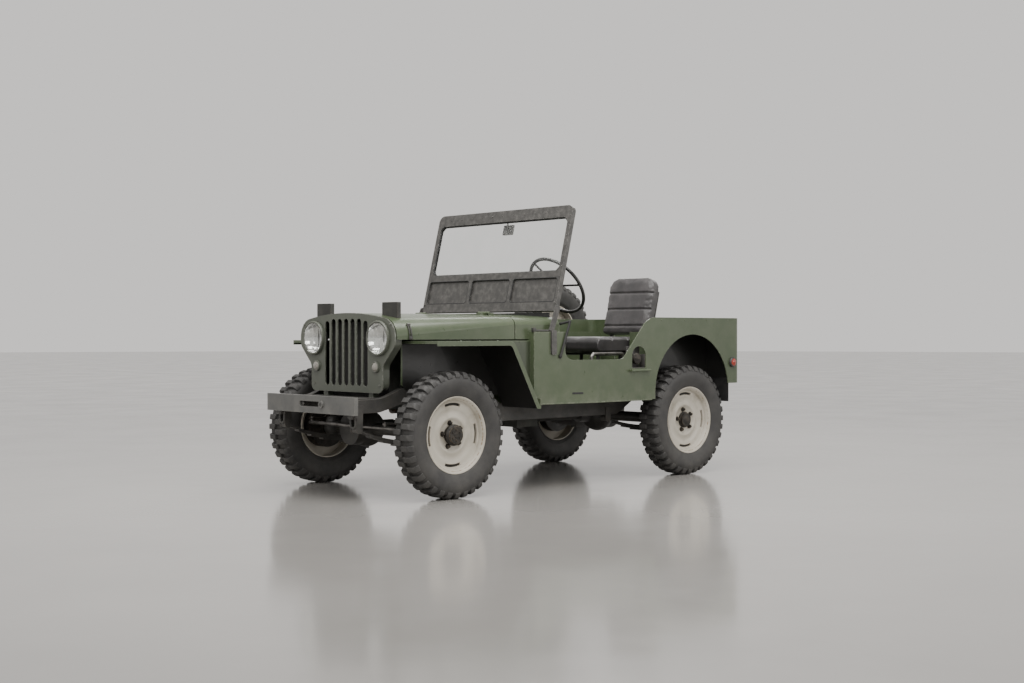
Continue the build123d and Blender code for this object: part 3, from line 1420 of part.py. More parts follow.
def main():
    os.makedirs("parts", exist_ok=True)
    for name, shape in build().items():
        export_step(Pos(*ORIGIN_SHIFT) * shape, f"parts/{name}.step")


if __name__ == "__main__":
    main()
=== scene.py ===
from math import cos, exp, pi, radians, sin

import bmesh
import bpy
from mathutils import Matrix, Vector


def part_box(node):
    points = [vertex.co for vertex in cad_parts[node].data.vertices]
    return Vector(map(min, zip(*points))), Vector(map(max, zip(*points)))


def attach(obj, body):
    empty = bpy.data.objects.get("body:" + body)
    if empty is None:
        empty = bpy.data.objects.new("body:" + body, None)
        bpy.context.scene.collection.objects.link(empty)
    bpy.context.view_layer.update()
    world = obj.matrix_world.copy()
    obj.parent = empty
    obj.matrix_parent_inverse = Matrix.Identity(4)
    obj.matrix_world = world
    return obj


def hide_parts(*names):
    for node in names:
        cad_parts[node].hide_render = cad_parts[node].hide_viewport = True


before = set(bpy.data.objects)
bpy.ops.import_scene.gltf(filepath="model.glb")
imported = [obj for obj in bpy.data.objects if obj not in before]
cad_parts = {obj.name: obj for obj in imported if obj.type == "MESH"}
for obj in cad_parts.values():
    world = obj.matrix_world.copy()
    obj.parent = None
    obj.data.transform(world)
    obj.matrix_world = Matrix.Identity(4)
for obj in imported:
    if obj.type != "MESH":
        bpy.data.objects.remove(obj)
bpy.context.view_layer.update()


def middle(node):
    """Middle of a solid's box."""
    low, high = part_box(node)
    return (Vector(low) + Vector(high)) / 2


FRONT_LEFT = middle("tyre_front_left")
FRONT_RIGHT = middle("tyre_front_right")
REAR_LEFT = middle("tyre_rear_left")
# All lengths are in metres from the middle of the front axle on the ground: x forward, y left, z up
SHIFT = Vector((FRONT_LEFT.x, (FRONT_LEFT.y + FRONT_RIGHT.y) / 2, 0))

AXLE_Z = FRONT_LEFT.z
TRACK_HALF = (FRONT_LEFT.y - FRONT_RIGHT.y) / 2
REAR_X = REAR_LEFT.x - FRONT_LEFT.x
SPARE = middle("spare_tyre") - SHIFT

# Body places
GRILLE_X = 0.270
BUMPER_X = 0.529
BOSS = Vector((0.539, 0.121, 0.531))
DASH_X = -0.870
COWL_TOP_Z = 1.052
COWL_CROWN = 0.022
TUB_FRONT_X = -0.640
TUB_HALF_W = 0.705
TUB_REAR_X = REAR_X - 0.509
TUB_TOP_Z = 1.035
FLOOR_Z = 0.512
FENDER_TOP_Z = 0.890
HEADLAMP = Vector((GRILLE_X, 0.313, 0.905))
MARKER = Vector((GRILLE_X, 0.287, 0.740))
SIDE_LAMP = Vector((TUB_REAR_X + 0.093, TUB_HALF_W, 0.736))
REAR_LAMP = Vector((TUB_REAR_X, 0.553, 0.780))
FILLER = Vector((REAR_X + 0.531, TUB_HALF_W, 0.772))

# Windscreen, measured in its own leaning plane
PIVOT = Vector((-0.842, 0, 1.082))
SCREEN_LEAN = radians(14)
SCREEN_HALF_W = 0.630
SCREEN_LOW = -0.016
SCREEN_TOP = 0.655
SCREEN_T = 0.030
GLASS_LOW = 0.236
GLASS_TOP = 0.580
GLASS_HALF_W = 0.600
GLASS_CORNER = 0.030
PANEL_LOW = 0.042
PANEL_TOP = 0.194
PANEL_CORNER = 0.012
# Left and right ends of the three panels
PANELS = ((-0.605, -0.208), (-0.179, 0.179), (0.208, 0.605))
SCREEN_OUT = Vector((cos(SCREEN_LEAN), 0, sin(SCREEN_LEAN)))
SCREEN_UP = Vector((-sin(SCREEN_LEAN), 0, cos(SCREEN_LEAN)))

# Camera, fitted to the photograph
CAMERA_PLACE = Vector((5.1658, 6.6457, 0.9418))
CAMERA_YAW = radians(226.875)
CAMERA_PITCH = radians(-0.395)
CAMERA_LENS = 49.35
SENSOR_W = 36

X = Vector((1, 0, 0))
Y = Vector((0, 1, 0))
Z = Vector((0, 0, 1))
# Left and right
SIDES = (1, -1)


# Materials


def node(tree, kind, values=None, **settings):
    """Adds a shader node with its settings and input values."""
    made = tree.nodes.new("ShaderNode" + kind)
    for key, value in settings.items():
        setattr(made, key, value)
    for key, value in (values or {}).items():
        made.inputs[key].default_value = value
    return made


def noise(tree, coords, scale, detail=4, roughness=0.55):
    """Fractal noise over the object's own coordinates."""
    made = node(tree, "TexNoise", {"Scale": scale, "Detail": detail, "Roughness": roughness})
    tree.links.new(coords, made.inputs["Vector"])
    return made.outputs["Fac"]


def ramp(tree, value, stops):
    """Colours along a value, from rows of (place, colour)."""
    made = node(tree, "ValToRGB")
    elements = made.color_ramp.elements
    while len(elements) < len(stops):
        elements.new(0.5)
    for element, (place, colour) in zip(elements, stops):
        element.position = place
        element.color = (*colour, 1)
    tree.links.new(value, made.inputs["Fac"])
    return made.outputs["Color"]


def spread(tree, value, low, high, to_low=0.0, to_high=1.0):
    """A value stretched from one range to another and held inside it."""
    made = node(tree, "MapRange", {"From Min": low, "From Max": high, "To Min": to_low, "To Max": to_high})
    tree.links.new(value, made.inputs["Value"])
    return made.outputs["Result"]


def times(tree, first, second):
    """Two values multiplied."""
    made = node(tree, "Math", operation="MULTIPLY")
    tree.links.new(first, made.inputs[0])
    tree.links.new(second, made.inputs[1])
    return made.outputs[0]


def mixed(tree, share, first, second):
    """One colour over another by a share; the second is a plain colour or a link."""
    made = node(tree, "Mix", data_type="RGBA")
    tree.links.new(share, made.inputs["Factor"])
    tree.links.new(first, made.inputs[6])
    if isinstance(second, tuple):
        made.inputs[7].default_value = (*second, 1)
    else:
        tree.links.new(second, made.inputs[7])
    return made.outputs[2]


def edge_share(tree, radius, low, high):
    """How near a point is to a sharp edge."""
    soft = node(tree, "Bevel", {"Radius": radius}, samples=4)
    plain = node(tree, "NewGeometry")
    dot = node(tree, "VectorMath", operation="DOT_PRODUCT")
    tree.links.new(soft.outputs[0], dot.inputs[0])
    tree.links.new(plain.outputs["Normal"], dot.inputs[1])
    return spread(tree, dot.outputs["Value"], low, high, 1.0, 0.0)


def start_material(name):
    """A new material with its shader and object coordinates."""
    material = bpy.data.materials.new(name)
    material.use_nodes = True
    tree = material.node_tree
    shader = tree.nodes["Principled BSDF"]
    coords = node(tree, "TexCoord").outputs["Object"]
    return material, tree, shader, coords


def add_bump(tree, shader, height, strength, distance):
    """Raises the surface by a height."""
    bump = node(tree, "Bump", {"Strength": strength, "Distance": distance})
    tree.links.new(height, bump.inputs["Height"])
    tree.links.new(bump.outputs["Normal"], shader.inputs["Normal"])


def facing_down(tree):
    """How far a face looks to the ground."""
    normal = node(tree, "SeparateXYZ")
    tree.links.new(node(tree, "NewGeometry").outputs["Normal"], normal.inputs[0])
    return spread(tree, normal.outputs["Z"], -0.2, -0.4)


def within(tree, coords, low, high):
    """One inside a box, also in its mirror image across the centre plane, and nothing outside it."""
    place = node(tree, "VectorMath", {1: tuple(SHIFT)}, operation="SUBTRACT")
    tree.links.new(coords, place.inputs[0])
    parts = node(tree, "SeparateXYZ")
    tree.links.new(place.outputs[0], parts.inputs[0])
    across = node(tree, "Math", operation="ABSOLUTE")
    tree.links.new(parts.outputs["Y"], across.inputs[0])
    blur = 0.0002
    share = None
    values = (parts.outputs["X"], across.outputs[0], parts.outputs["Z"])
    for value, start, end in zip(values, low, high):
        above = spread(tree, value, start - blur, start + blur)
        below = spread(tree, value, end - blur, end + blur, 1.0, 0.0)
        inside = times(tree, above, below)
        share = inside if share is None else times(tree, share, inside)
    return share


def worn_surface(
    name, tones, roughness, metal=0.0, blotch=3.0, grain=420.0, grain_depth=0.0002,
    worn=None, worn_low=0.80, dust=None, dust_top=0.75, coat=0.0, under=False, inside=None,
):
    """Paint, rubber or metal: mottled tones, fine grain, worn edges, dust that thins out upwards, and
    painted shade on faces that look down and inside given boxes.
    """
    material, tree, shader, coords = start_material(name)
    blotches = noise(tree, coords, blotch, 6, 0.6)
    dark, mid, light = tones
    colour = ramp(tree, blotches, ((0.32, dark), (0.5, mid), (0.7, light)))
    if dust:
        height = node(tree, "SeparateXYZ")
        tree.links.new(coords, height.inputs[0])
        low_down = spread(tree, height.outputs["Z"], 0.0, dust_top, 0.75, 0.06)
        patches = spread(tree, noise(tree, coords, 9.0, 8, 0.7), 0.40, 0.72)
        colour = mixed(tree, times(tree, low_down, patches), colour, dust)
    if worn:
        edges = edge_share(tree, 0.004, worn_low, 0.985)
        ragged = spread(tree, noise(tree, coords, 55.0, 6, 0.75), 0.46, 0.60)
        colour = mixed(tree, times(tree, edges, ragged), colour, worn)
    # Painted shade on faces that look down
    if under:
        colour = mixed(tree, facing_down(tree), colour, PAINTED_SHADE)
    # Painted shade inside the given boxes and their mirror images
    if inside:
        colour = mixed(tree, within(tree, coords, *inside), colour, PAINTED_SHADE)
    tree.links.new(colour, shader.inputs["Base Color"])
    sheen = spread(tree, noise(tree, coords, 14.0, 5, 0.6), 0.3, 0.7, roughness - 0.07, roughness + 0.10)
    tree.links.new(sheen, shader.inputs["Roughness"])
    shader.inputs["Metallic"].default_value = metal
    shader.inputs["Coat Weight"].default_value = coat
    add_bump(tree, shader, noise(tree, coords, grain, 3, 0.6), 0.25, grain_depth)
    return material


def clear_glass(name, tint, roughness):
    """Glass with faint smears."""
    material, tree, shader, coords = start_material(name)
    smears = noise(tree, coords, 6.0, 6, 0.6)
    colour = ramp(tree, smears, ((0.3, tint), (0.7, (1, 1, 1))))
    tree.links.new(colour, shader.inputs["Base Color"])
    haze = spread(tree, noise(tree, coords, 22.0, 6, 0.65), 0.45, 0.75, roughness, roughness + 0.05)
    tree.links.new(haze, shader.inputs["Roughness"])
    shader.inputs["Transmission Weight"].default_value = 1.0
    shader.inputs["IOR"].default_value = 1.45
    return material


# How far apart the bands of a wave texture of scale 1 lie
WAVE_PITCH = 2 * pi / 20


def fluted_glass(name, flute_w, depth):
    """Lamp glass with upright flutes pressed into it."""
    material, tree, shader, coords = start_material(name)
    waves = node(tree, "TexWave", {"Scale": WAVE_PITCH / flute_w, "Distortion": 0.0}, bands_direction="Y")
    tree.links.new(coords, waves.inputs["Vector"])
    smears = noise(tree, coords, 16.0, 5, 0.6)
    colour = ramp(tree, smears, ((0.35, (0.86, 0.88, 0.86)), (0.7, (1, 1, 1))))
    tree.links.new(colour, shader.inputs["Base Color"])
    haze = spread(tree, smears, 0.4, 0.7, 0.03, 0.09)
    tree.links.new(haze, shader.inputs["Roughness"])
    shader.inputs["Transmission Weight"].default_value = 1.0
    shader.inputs["IOR"].default_value = 1.45
    add_bump(tree, shader, waves.outputs["Fac"], 0.6, depth)
    return material


def lamp_plastic(name, deep, bright):
    """Coloured lens with small pressed beads, each painted paler in its middle as a painted glint."""
    material, tree, shader, coords = start_material(name)
    beads = node(tree, "TexVoronoi", {"Scale": 260.0})
    tree.links.new(coords, beads.inputs["Vector"])
    # Each bead paler in its middle: a painted glint
    colour = ramp(tree, beads.outputs["Distance"], ((0.0, bright), (0.6, deep)))
    tree.links.new(colour, shader.inputs["Base Color"])
    shine = spread(tree, noise(tree, coords, 30.0), 0.3, 0.7, 0.12, 0.25)
    tree.links.new(shine, shader.inputs["Roughness"])
    shader.inputs["Coat Weight"].default_value = 0.6
    add_bump(tree, shader, beads.outputs["Distance"], 0.4, 0.001)
    return material


def vinyl(name):
    """Black seat vinyl with a pebbled grain and pale patches, partly rubbed wear and partly painted sheen.
    """
    material, tree, shader, coords = start_material(name)
    rubbed_and_sheen = noise(tree, coords, 7.0, 6, 0.65)
    deep = (0.030, 0.029, 0.030)
    plain = (0.052, 0.049, 0.050)
    rubbed_and_sheen_pale = (0.085, 0.080, 0.080)
    # Pale patches: partly rubbed wear, partly painted sheen
    colour = ramp(tree, rubbed_and_sheen, ((0.30, deep), (0.52, plain), (0.75, rubbed_and_sheen_pale)))
    tree.links.new(colour, shader.inputs["Base Color"])
    shine = spread(tree, noise(tree, coords, 11.0, 6, 0.6), 0.3, 0.7, 0.30, 0.52)
    tree.links.new(shine, shader.inputs["Roughness"])
    pebbles = node(tree, "TexVoronoi", {"Scale": 620.0})
    tree.links.new(coords, pebbles.inputs["Vector"])
    add_bump(tree, shader, pebbles.outputs["Distance"], 0.35, 0.0005)
    return material


def finned_core(name):
    """Dark radiator core with thin upright fins; the darker bands between the fins are painted shade of the
    gaps.
    """
    material, tree, shader, coords = start_material(name)
    fins = node(tree, "TexWave", {"Scale": 60.0}, bands_direction="Y")
    tree.links.new(coords, fins.inputs["Vector"])
    # Darker bands between the fins: painted shade of the gaps
    colour = ramp(tree, fins.outputs["Fac"], ((0.2, (0.006, 0.006, 0.006)), (0.8, (0.030, 0.028, 0.026))))
    tree.links.new(colour, shader.inputs["Base Color"])
    dull = spread(tree, noise(tree, coords, 20.0), 0.3, 0.7, 0.55, 0.75)
    tree.links.new(dull, shader.inputs["Roughness"])
    add_bump(tree, shader, fins.outputs["Fac"], 0.8, 0.003)
    return material


DUST = (0.36, 0.33, 0.28)
BARE = (0.34, 0.33, 0.31)
# Near-black painted shade for faces that look down, under the fenders and inside the wheel boxes
PAINTED_SHADE = (0.012, 0.012, 0.011)
GREEN_TONES = ((0.044, 0.063, 0.030), (0.054, 0.075, 0.037), (0.066, 0.088, 0.046))
GREEN_LOOK = {
    "blotch": 1.6, "worn": (0.26, 0.27, 0.22), "worn_low": 0.86,
    "dust": DUST, "dust_top": 0.62, "coat": 0.25,
}
# Spaces under the fenders and inside the wheel boxes, which get painted shade
FENDER_SHADE_SPACE = (Vector((-0.637, 0.30, 0.0)), Vector((0.150, 0.606, 0.8845)))
BOX_SHADE_SPACE = (Vector((REAR_X - 0.389, 0.502, 0.0)), Vector((REAR_X + 0.389, 0.80, 0.938)))
body_green = worn_surface("body_green", GREEN_TONES, 0.34, **GREEN_LOOK)
floor_green = worn_surface("floor_green", GREEN_TONES, 0.45, under=True, **GREEN_LOOK)
fender_green = worn_surface(
    "fender_green", GREEN_TONES, 0.34, under=True, inside=FENDER_SHADE_SPACE, **GREEN_LOOK
)
box_green = worn_surface("box_green", GREEN_TONES, 0.40, inside=BOX_SHADE_SPACE, **GREEN_LOOK)
grille_green = worn_surface(
    "grille_green", ((0.064, 0.072, 0.056), (0.080, 0.088, 0.069), (0.098, 0.106, 0.085)), 0.36,
    blotch=4.0, worn=BARE, worn_low=0.84, coat=0.1,
)
screen_grey = worn_surface(
    "screen_grey", ((0.034, 0.033, 0.031), (0.052, 0.050, 0.047), (0.086, 0.082, 0.077)), 0.40,
    blotch=30.0, grain=160.0, grain_depth=0.0006, worn=(0.30, 0.29, 0.27), worn_low=0.72,
)
bumper_grey = worn_surface(
    "bumper_grey", ((0.082, 0.084, 0.082), (0.105, 0.106, 0.102), (0.132, 0.132, 0.126)), 0.42,
    blotch=5.0, worn=(0.30, 0.28, 0.25), worn_low=0.82, dust=DUST, dust_top=0.60,
)
chassis_black = worn_surface(
    "chassis_black", ((0.024, 0.024, 0.023), (0.042, 0.041, 0.039), (0.070, 0.067, 0.063)), 0.44,
    blotch=8.0, grain=220.0, grain_depth=0.0008,
    worn=(0.11, 0.09, 0.07), dust=(0.13, 0.12, 0.10), dust_top=0.70,
)
wheel_cream = worn_surface(
    "wheel_cream", ((0.36, 0.33, 0.27), (0.48, 0.45, 0.385), (0.56, 0.53, 0.46)), 0.40,
    blotch=9.0, worn=(0.20, 0.13, 0.07), worn_low=0.74, dust=(0.30, 0.26, 0.20), dust_top=0.62,
)
tyre_rubber = worn_surface(
    "tyre_rubber", ((0.026, 0.025, 0.025), (0.038, 0.037, 0.036), (0.055, 0.053, 0.051)), 0.62,
    blotch=14.0, grain=260.0, grain_depth=0.0010, worn=(0.085, 0.082, 0.077), worn_low=0.60,
    dust=(0.085, 0.080, 0.072), dust_top=0.50,
)
hub_iron = worn_surface(
    "hub_iron", ((0.012, 0.011, 0.010), (0.030, 0.027, 0.023), (0.062, 0.052, 0.042)), 0.55,
    metal=0.4, blotch=26.0, grain=140.0, grain_depth=0.0012, worn=(0.16, 0.12, 0.08),
)
grey_steel = worn_surface(
    "grey_steel", ((0.14, 0.13, 0.12), (0.24, 0.23, 0.22), (0.34, 0.33, 0.31)), 0.38,
    metal=0.8, blotch=18.0, grain=300.0, grain_depth=0.0004, worn=(0.12, 0.08, 0.05),
)
bright_metal = worn_surface(
    "bright_metal", ((0.62, 0.62, 0.61), (0.74, 0.74, 0.73), (0.82, 0.82, 0.81)), 0.14,
    metal=1.0, blotch=12.0, grain_depth=0.0001,
)
engine_iron = worn_surface(
    "engine_iron", ((0.030, 0.034, 0.030), (0.050, 0.055, 0.048), (0.080, 0.084, 0.074)), 0.58,
    blotch=12.0, grain=120.0, grain_depth=0.0012, dust=(0.14, 0.12, 0.10), dust_top=0.80,
)
seal_rubber = worn_surface(
    "seal_rubber", ((0.010, 0.010, 0.010), (0.016, 0.016, 0.016), (0.028, 0.027, 0.026)), 0.62, blotch=20.0,
)
black_bakelite = worn_surface(
    "black_bakelite", ((0.010, 0.010, 0.010), (0.015, 0.015, 0.015), (0.024, 0.023, 0.022)), 0.28,
    blotch=16.0, grain_depth=0.0001, worn=(0.06, 0.055, 0.05), coat=0.3,
)
painted_wood = worn_surface(
    "painted_wood", ((0.020, 0.020, 0.018), (0.031, 0.031, 0.028), (0.048, 0.047, 0.043)), 0.60,
    blotch=14.0, grain=90.0, grain_depth=0.0015, worn=(0.15, 0.12, 0.08),
)
dial_face = worn_surface(
    "dial_face", ((0.60, 0.57, 0.48), (0.68, 0.65, 0.56), (0.74, 0.71, 0.62)), 0.40, blotch=30.0,
)
rusty_pipe = worn_surface(
    "rusty_pipe", ((0.050, 0.028, 0.018), (0.092, 0.054, 0.034), (0.150, 0.100, 0.070)), 0.72,
    metal=0.3, blotch=16.0, grain=120.0, grain_depth=0.0012, dust=(0.14, 0.12, 0.10), dust_top=0.60,
)
black_vinyl = vinyl("black_vinyl")
window_glass = clear_glass("window_glass", (0.93, 0.96, 0.94), 0.0)
lamp_glass = fluted_glass("lamp_glass", 0.05655, 0.0012)
red_lens = lamp_plastic("red_lens", (0.20, 0.010, 0.004), (0.62, 0.060, 0.020))
pale_lens = lamp_plastic("pale_lens", (0.20, 0.19, 0.165), (0.40, 0.38, 0.34))
radiator_core = finned_core("radiator_core")

# Which finish each solid takes
FINISHES = (
    (body_green, ("side_panel", "rear_panel", "tailgate", "cowl", "hood")),
    (floor_green, ("floor_pan",)),
    (fender_green, ("fender",)),
    (box_green, ("wheel_boxes",)),
    (grille_green, ("grille",)),
    (painted_wood, ("hood_blocks",)),
    (bumper_grey, ("front_bumper",)),
    (screen_grey, ("windscreen_frame", "screen_brackets")),
    (window_glass, ("windscreen_glass",)),
    (chassis_black, ("frame_rail", "crossmembers", "front_axle", "rear_axle", "leaf_springs", "fuel_tank")),
    (chassis_black, ("seat_frame", "spare_carrier", "propeller_shafts")),
    (seal_rubber, ("rear_flaps",)),
    (rusty_pipe, ("exhaust",)),
    (hub_iron, ("knuckle", "hub_")),
    (grey_steel, ("tie_rod", "bell_crank", "drag_link", "drop_arm")),
    (black_bakelite, ("steering_column", "steering_wheel", "levers")),
    (engine_iron, ("engine_block", "gearbox")),
    (radiator_core, ("radiator",)),
    (wheel_cream, ("wheel_front", "wheel_rear", "spare_wheel")),
    (tyre_rubber, ("tyre_", "spare_tyre")),
    (bright_metal, ("headlamps",)),
    (lamp_glass, ("headlamp_glass",)),
    (pale_lens, ("marker_lamps",)),
    (red_lens, ("rear_lamps",)),
    (black_vinyl, ("seat_cushion", "seat_back")),
)


def dress_solids():
    """Gives every solid its finish; the longest matching name wins."""
    for name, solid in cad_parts.items():
        best = ""
        for material, starts in FINISHES:
            for start in starts:
                if name.startswith(start) and len(start) > len(best):
                    best = start
                    chosen = material
        for place in solid.material_slots:
            place.material = chosen


# Shapes


def faces_of(verts):
    """Faces that use any of these points."""
    return {face for vert in verts for face in vert.link_faces}


def set_finish(verts, finish):
    """Gives the faces of these points one of the piece's materials."""
    for face in faces_of(verts):
        face.material_index = finish


def aim(start, end):
    """Turns an upright shape to lie between two points."""
    axis = end - start
    turn = axis.to_track_quat("Z", "Y").to_matrix().to_4x4()
    return Matrix.Translation((start + end) / 2) @ turn


def bar(bm, start, end, radius, segments=16, finish=0, tip=None):
    """A round bar, or a tapered one, from one point to another."""
    start = Vector(start)
    end = Vector(end)
    made = bmesh.ops.create_cone(
        bm, cap_ends=True, segments=segments, radius1=radius, radius2=radius if tip is None else tip,
        depth=(end - start).length, matrix=aim(start, end),
    )
    set_finish(made["verts"], finish)


def rod(bm, places, radius):
    """A round rod through several places, with its bends rounded off."""
    for start, end in zip(places, places[1:]):
        bar(bm, start, end, radius, 12)
    for place in places[1:-1]:
        bmesh.ops.create_icosphere(bm, subdivisions=2, radius=radius, matrix=Matrix.Translation(place))


def slab(bm, low, high, bevel=0.002, finish=0, turn=None):
    """A box with rounded edges between two corners, turned about its middle if asked."""
    low = Vector(low)
    high = Vector(high)
    size = high - low
    place = Matrix.Translation((low + high) / 2) @ (turn or Matrix()) @ Matrix.Diagonal((*size, 1))
    made = bmesh.ops.create_cube(bm, size=1, matrix=place)
    set_finish(made["verts"], finish)
    edges = {edge for vert in made["verts"] for edge in vert.link_edges}
    bmesh.ops.bevel(
        bm, geom=list(edges), offset=bevel, segments=2, profile=0.5, affect="EDGES", material=-1
    )


def lathe(bm, rows, centre, axis, steps, finish=0):
    """Rows of (radius, along), closed to a loop and turned; finish is a number or a function of both."""
    centre = Vector(centre)
    side = axis.orthogonal().normalized()
    before = set(bm.faces)
    verts = [bm.verts.new(centre + side * radius + axis * along) for radius, along in rows]
    edges = [bm.edges.new(pair) for pair in zip(verts, verts[1:] + verts[:1])]
    bmesh.ops.spin(
        bm, geom=verts + edges, cent=centre, axis=axis, angle=2 * pi, steps=steps, use_merge=True
    )
    made = [face for face in bm.faces if face not in before]
    points = list({vert for face in made for vert in face.verts})
    bmesh.ops.remove_doubles(bm, verts=points, dist=1e-5)
    made = [face for face in bm.faces if face not in before]
    for face in made:
        offset = face.calc_center_median() - centre
        along = offset.dot(axis)
        radius = (offset - axis * along).length
        face.material_index = finish(radius, along) if callable(finish) else finish
    return made


def inner_finish(edge, inner, outer):
    """One finish for the raised middle of a turned shape, another for its rim and back."""
    return lambda radius, along: inner if radius < edge and along > 0.001 else outer


def half_hoop(bm, centre, axis, first, ring_r, wire_r):
    """Half a ring of round wire, from a first direction."""
    centre = Vector(centre)
    first = first.normalized()
    turn = axis.cross(first)
    place = Matrix((first, axis, turn)).transposed().to_4x4()
    circle = bmesh.ops.create_circle(
        bm, cap_ends=False, segments=10, radius=wire_r,
        matrix=Matrix.Translation(centre + first * ring_r) @ place,
    )
    edges = list({edge for vert in circle["verts"] for edge in vert.link_edges})
    bmesh.ops.spin(
        bm, geom=circle["verts"] + edges, cent=centre, axis=axis, angle=pi, steps=16, use_merge=False
    )


def bolt(bm, place, normal, size=0.008, finish=0):
    """A hexagon head on a washer."""
    place = Vector(place)
    normal = Vector(normal).normalized()
    washer = place + normal * 0.0018
    bar(bm, place, washer, size * 1.25, 16, finish)
    bar(bm, washer, washer + normal * size * 0.7, size, 6, finish, size * 0.92)


def rivet(bm, place, normal, radius=0.005, finish=0):
    """A low round head."""
    place = Vector(place)
    normal = Vector(normal).normalized()
    rim = place + normal * radius * 0.35
    bar(bm, place, rim, radius, 10, finish, radius * 0.9)
    bar(bm, rim, rim + normal * radius * 0.25, radius * 0.9, 10, finish, radius * 0.35)


def turns(count, axis, start=0.0):
    """Even turns about an axis."""
    return [Matrix.Rotation(start + 2 * pi * i / count, 4, axis) for i in range(count)]


SHARP_ANGLE = radians(38)


def keep(name, bm, materials, body):
    """Makes the finished piece, at its place, riding on its body."""
    bmesh.ops.recalc_face_normals(bm, faces=bm.faces)
    bmesh.ops.translate(bm, verts=bm.verts, vec=SHIFT)
    mesh = bpy.data.meshes.new(name)
    bm.to_mesh(mesh)
    bm.free()
    for material in materials:
        mesh.materials.append(material)
    mesh.shade_smooth()
    mesh.set_sharp_from_angle(angle=SHARP_ANGLE)
    piece = bpy.data.objects.new(name, mesh)
    bpy.context.scene.collection.objects.link(piece)
    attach(piece, body)
    return piece


# Wheels

TYRE_R = 0.360
TREAD_BASE_R = 0.343
TYRE_STEPS = 120
WHEEL_STEPS = 96
LUG_COUNT = 36
LUG_W = 0.033
LUG_BEVEL = 0.0018
# A lug is narrower outside this radius and wider at its foot
LUG_CROWN_R = 0.354
LUG_CROWN_SHARE = 0.90
LUG_FOOT_SHARE = 1.04
SLOT_IN_R = 0.166
SLOT_OUT_R = 0.182
SLOT_HALF_ANGLE = 0.30
SLOT_DEPTH = 0.012
# The wheel's outer face lies beyond this
FACE_LOW_Y = 0.02
NUT_COUNT = 5
NUT_START = 0.2
NUT_SEAT_Y = 0.0150
NUT_RING_R = 0.070
# A wheel nut from its seat outwards: start, end, radius, sides and radius at the end
NUT_ROWS = (
    (0.0, 0.004, 0.0150, 20, 0.0150), (0.004, 0.018, 0.0105, 6, 0.0098),
    (0.018, 0.024, 0.0060, 10, 0.0045),
)
# Half of the tyre's section as (radius, across), from the bead to the middle of the tread
TYRE_ROWS = (
    (0.2034, 0.0540), (0.2110, 0.0590), (0.2220, 0.0640), (0.2250, 0.0675), (0.2310, 0.0690),
    (0.2400, 0.0725), (0.2600, 0.0780), (0.2800, 0.0812), (0.2980, 0.0818), (0.3140, 0.0790),
    (0.3280, 0.0720), (0.3380, 0.0640), (TREAD_BASE_R, 0.0480), (TREAD_BASE_R, 0.0),
)
# One lug's section, from past the middle of the tread over the shoulder and down the side
LUG_ROWS = (
    (0.338, 0.001), (0.3585, 0.002), (TYRE_R, 0.006), (TYRE_R, 0.050), (0.3575, 0.060),
    (0.3480, 0.0700), (0.3340, 0.0765), (0.3240, 0.0780), (0.3220, 0.0730), (0.3320, 0.0560),
)
# The pressed wheel's outer face from the flange to the bore, then its back and barrel
WHEEL_ROWS = (
    (0.2030, -0.0600), (0.2030, 0.0545), (0.2190, 0.0596), (0.2200, 0.0625), (0.2190, 0.0648),
    (0.2165, 0.0653), (0.2120, 0.0636), (0.2060, 0.0560), (0.1990, 0.0500), (0.1950, 0.0400),
    (0.1930, 0.0320), (0.1880, 0.0285), (0.1820, 0.0272), (0.1740, 0.0268), (0.1660, 0.0262),
    (0.1540, 0.0250), (0.1470, 0.0220), (0.1420, 0.0195), (0.1300, 0.0185), (0.1180, 0.0200),
    (0.1100, 0.0235), (0.1020, 0.0262), (0.0940, 0.0250), (0.0860, 0.0195), (0.0800, 0.0165),
    (0.0600, 0.0150), (0.0540, 0.0150), (0.0520, 0.0135), (0.0520, 0.0080), (0.1960, 0.0080),
    (0.1960, -0.0600),
)


def lug(bm, turn, side):
    """One chunky lug on one half of the tread."""
    profile = [bm.verts.new((-LUG_W / 2, across * side, radius)) for radius, across in LUG_ROWS]
    face = bm.faces.new(profile)
    grown = bmesh.ops.extrude_face_region(bm, geom=[face])["geom"]
    far = [item for item in grown if isinstance(item, bmesh.types.BMVert)]
    bmesh.ops.translate(bm, verts=far, vec=(LUG_W, 0, 0))
    points = profile + far
    for point in points:
        point.co.x *= LUG_CROWN_SHARE if point.co.z > LUG_CROWN_R else LUG_FOOT_SHARE
    edges = list({edge for point in points for edge in point.link_edges})
    bmesh.ops.transform(bm, matrix=turn, verts=points)
    bmesh.ops.bevel(
        bm, geom=edges, offset=LUG_BEVEL, segments=1, profile=0.5, affect="EDGES", material=-1
    )


def tyre_form():
    """A tyre about the y axis: ribbed sidewalls and two staggered rows of lugs."""
    bm = bmesh.new()
    half = list(TYRE_ROWS)
    rows = half + [(radius, -across) for radius, across in reversed(half[:-1])]
    lathe(bm, rows, (0, 0, 0), Y, TYRE_STEPS)
    for side, start in ((1, 0.0), (-1, pi / LUG_COUNT)):
        for turn in turns(LUG_COUNT, "Y", start):
            lug(bm, turn, side)
    return bm


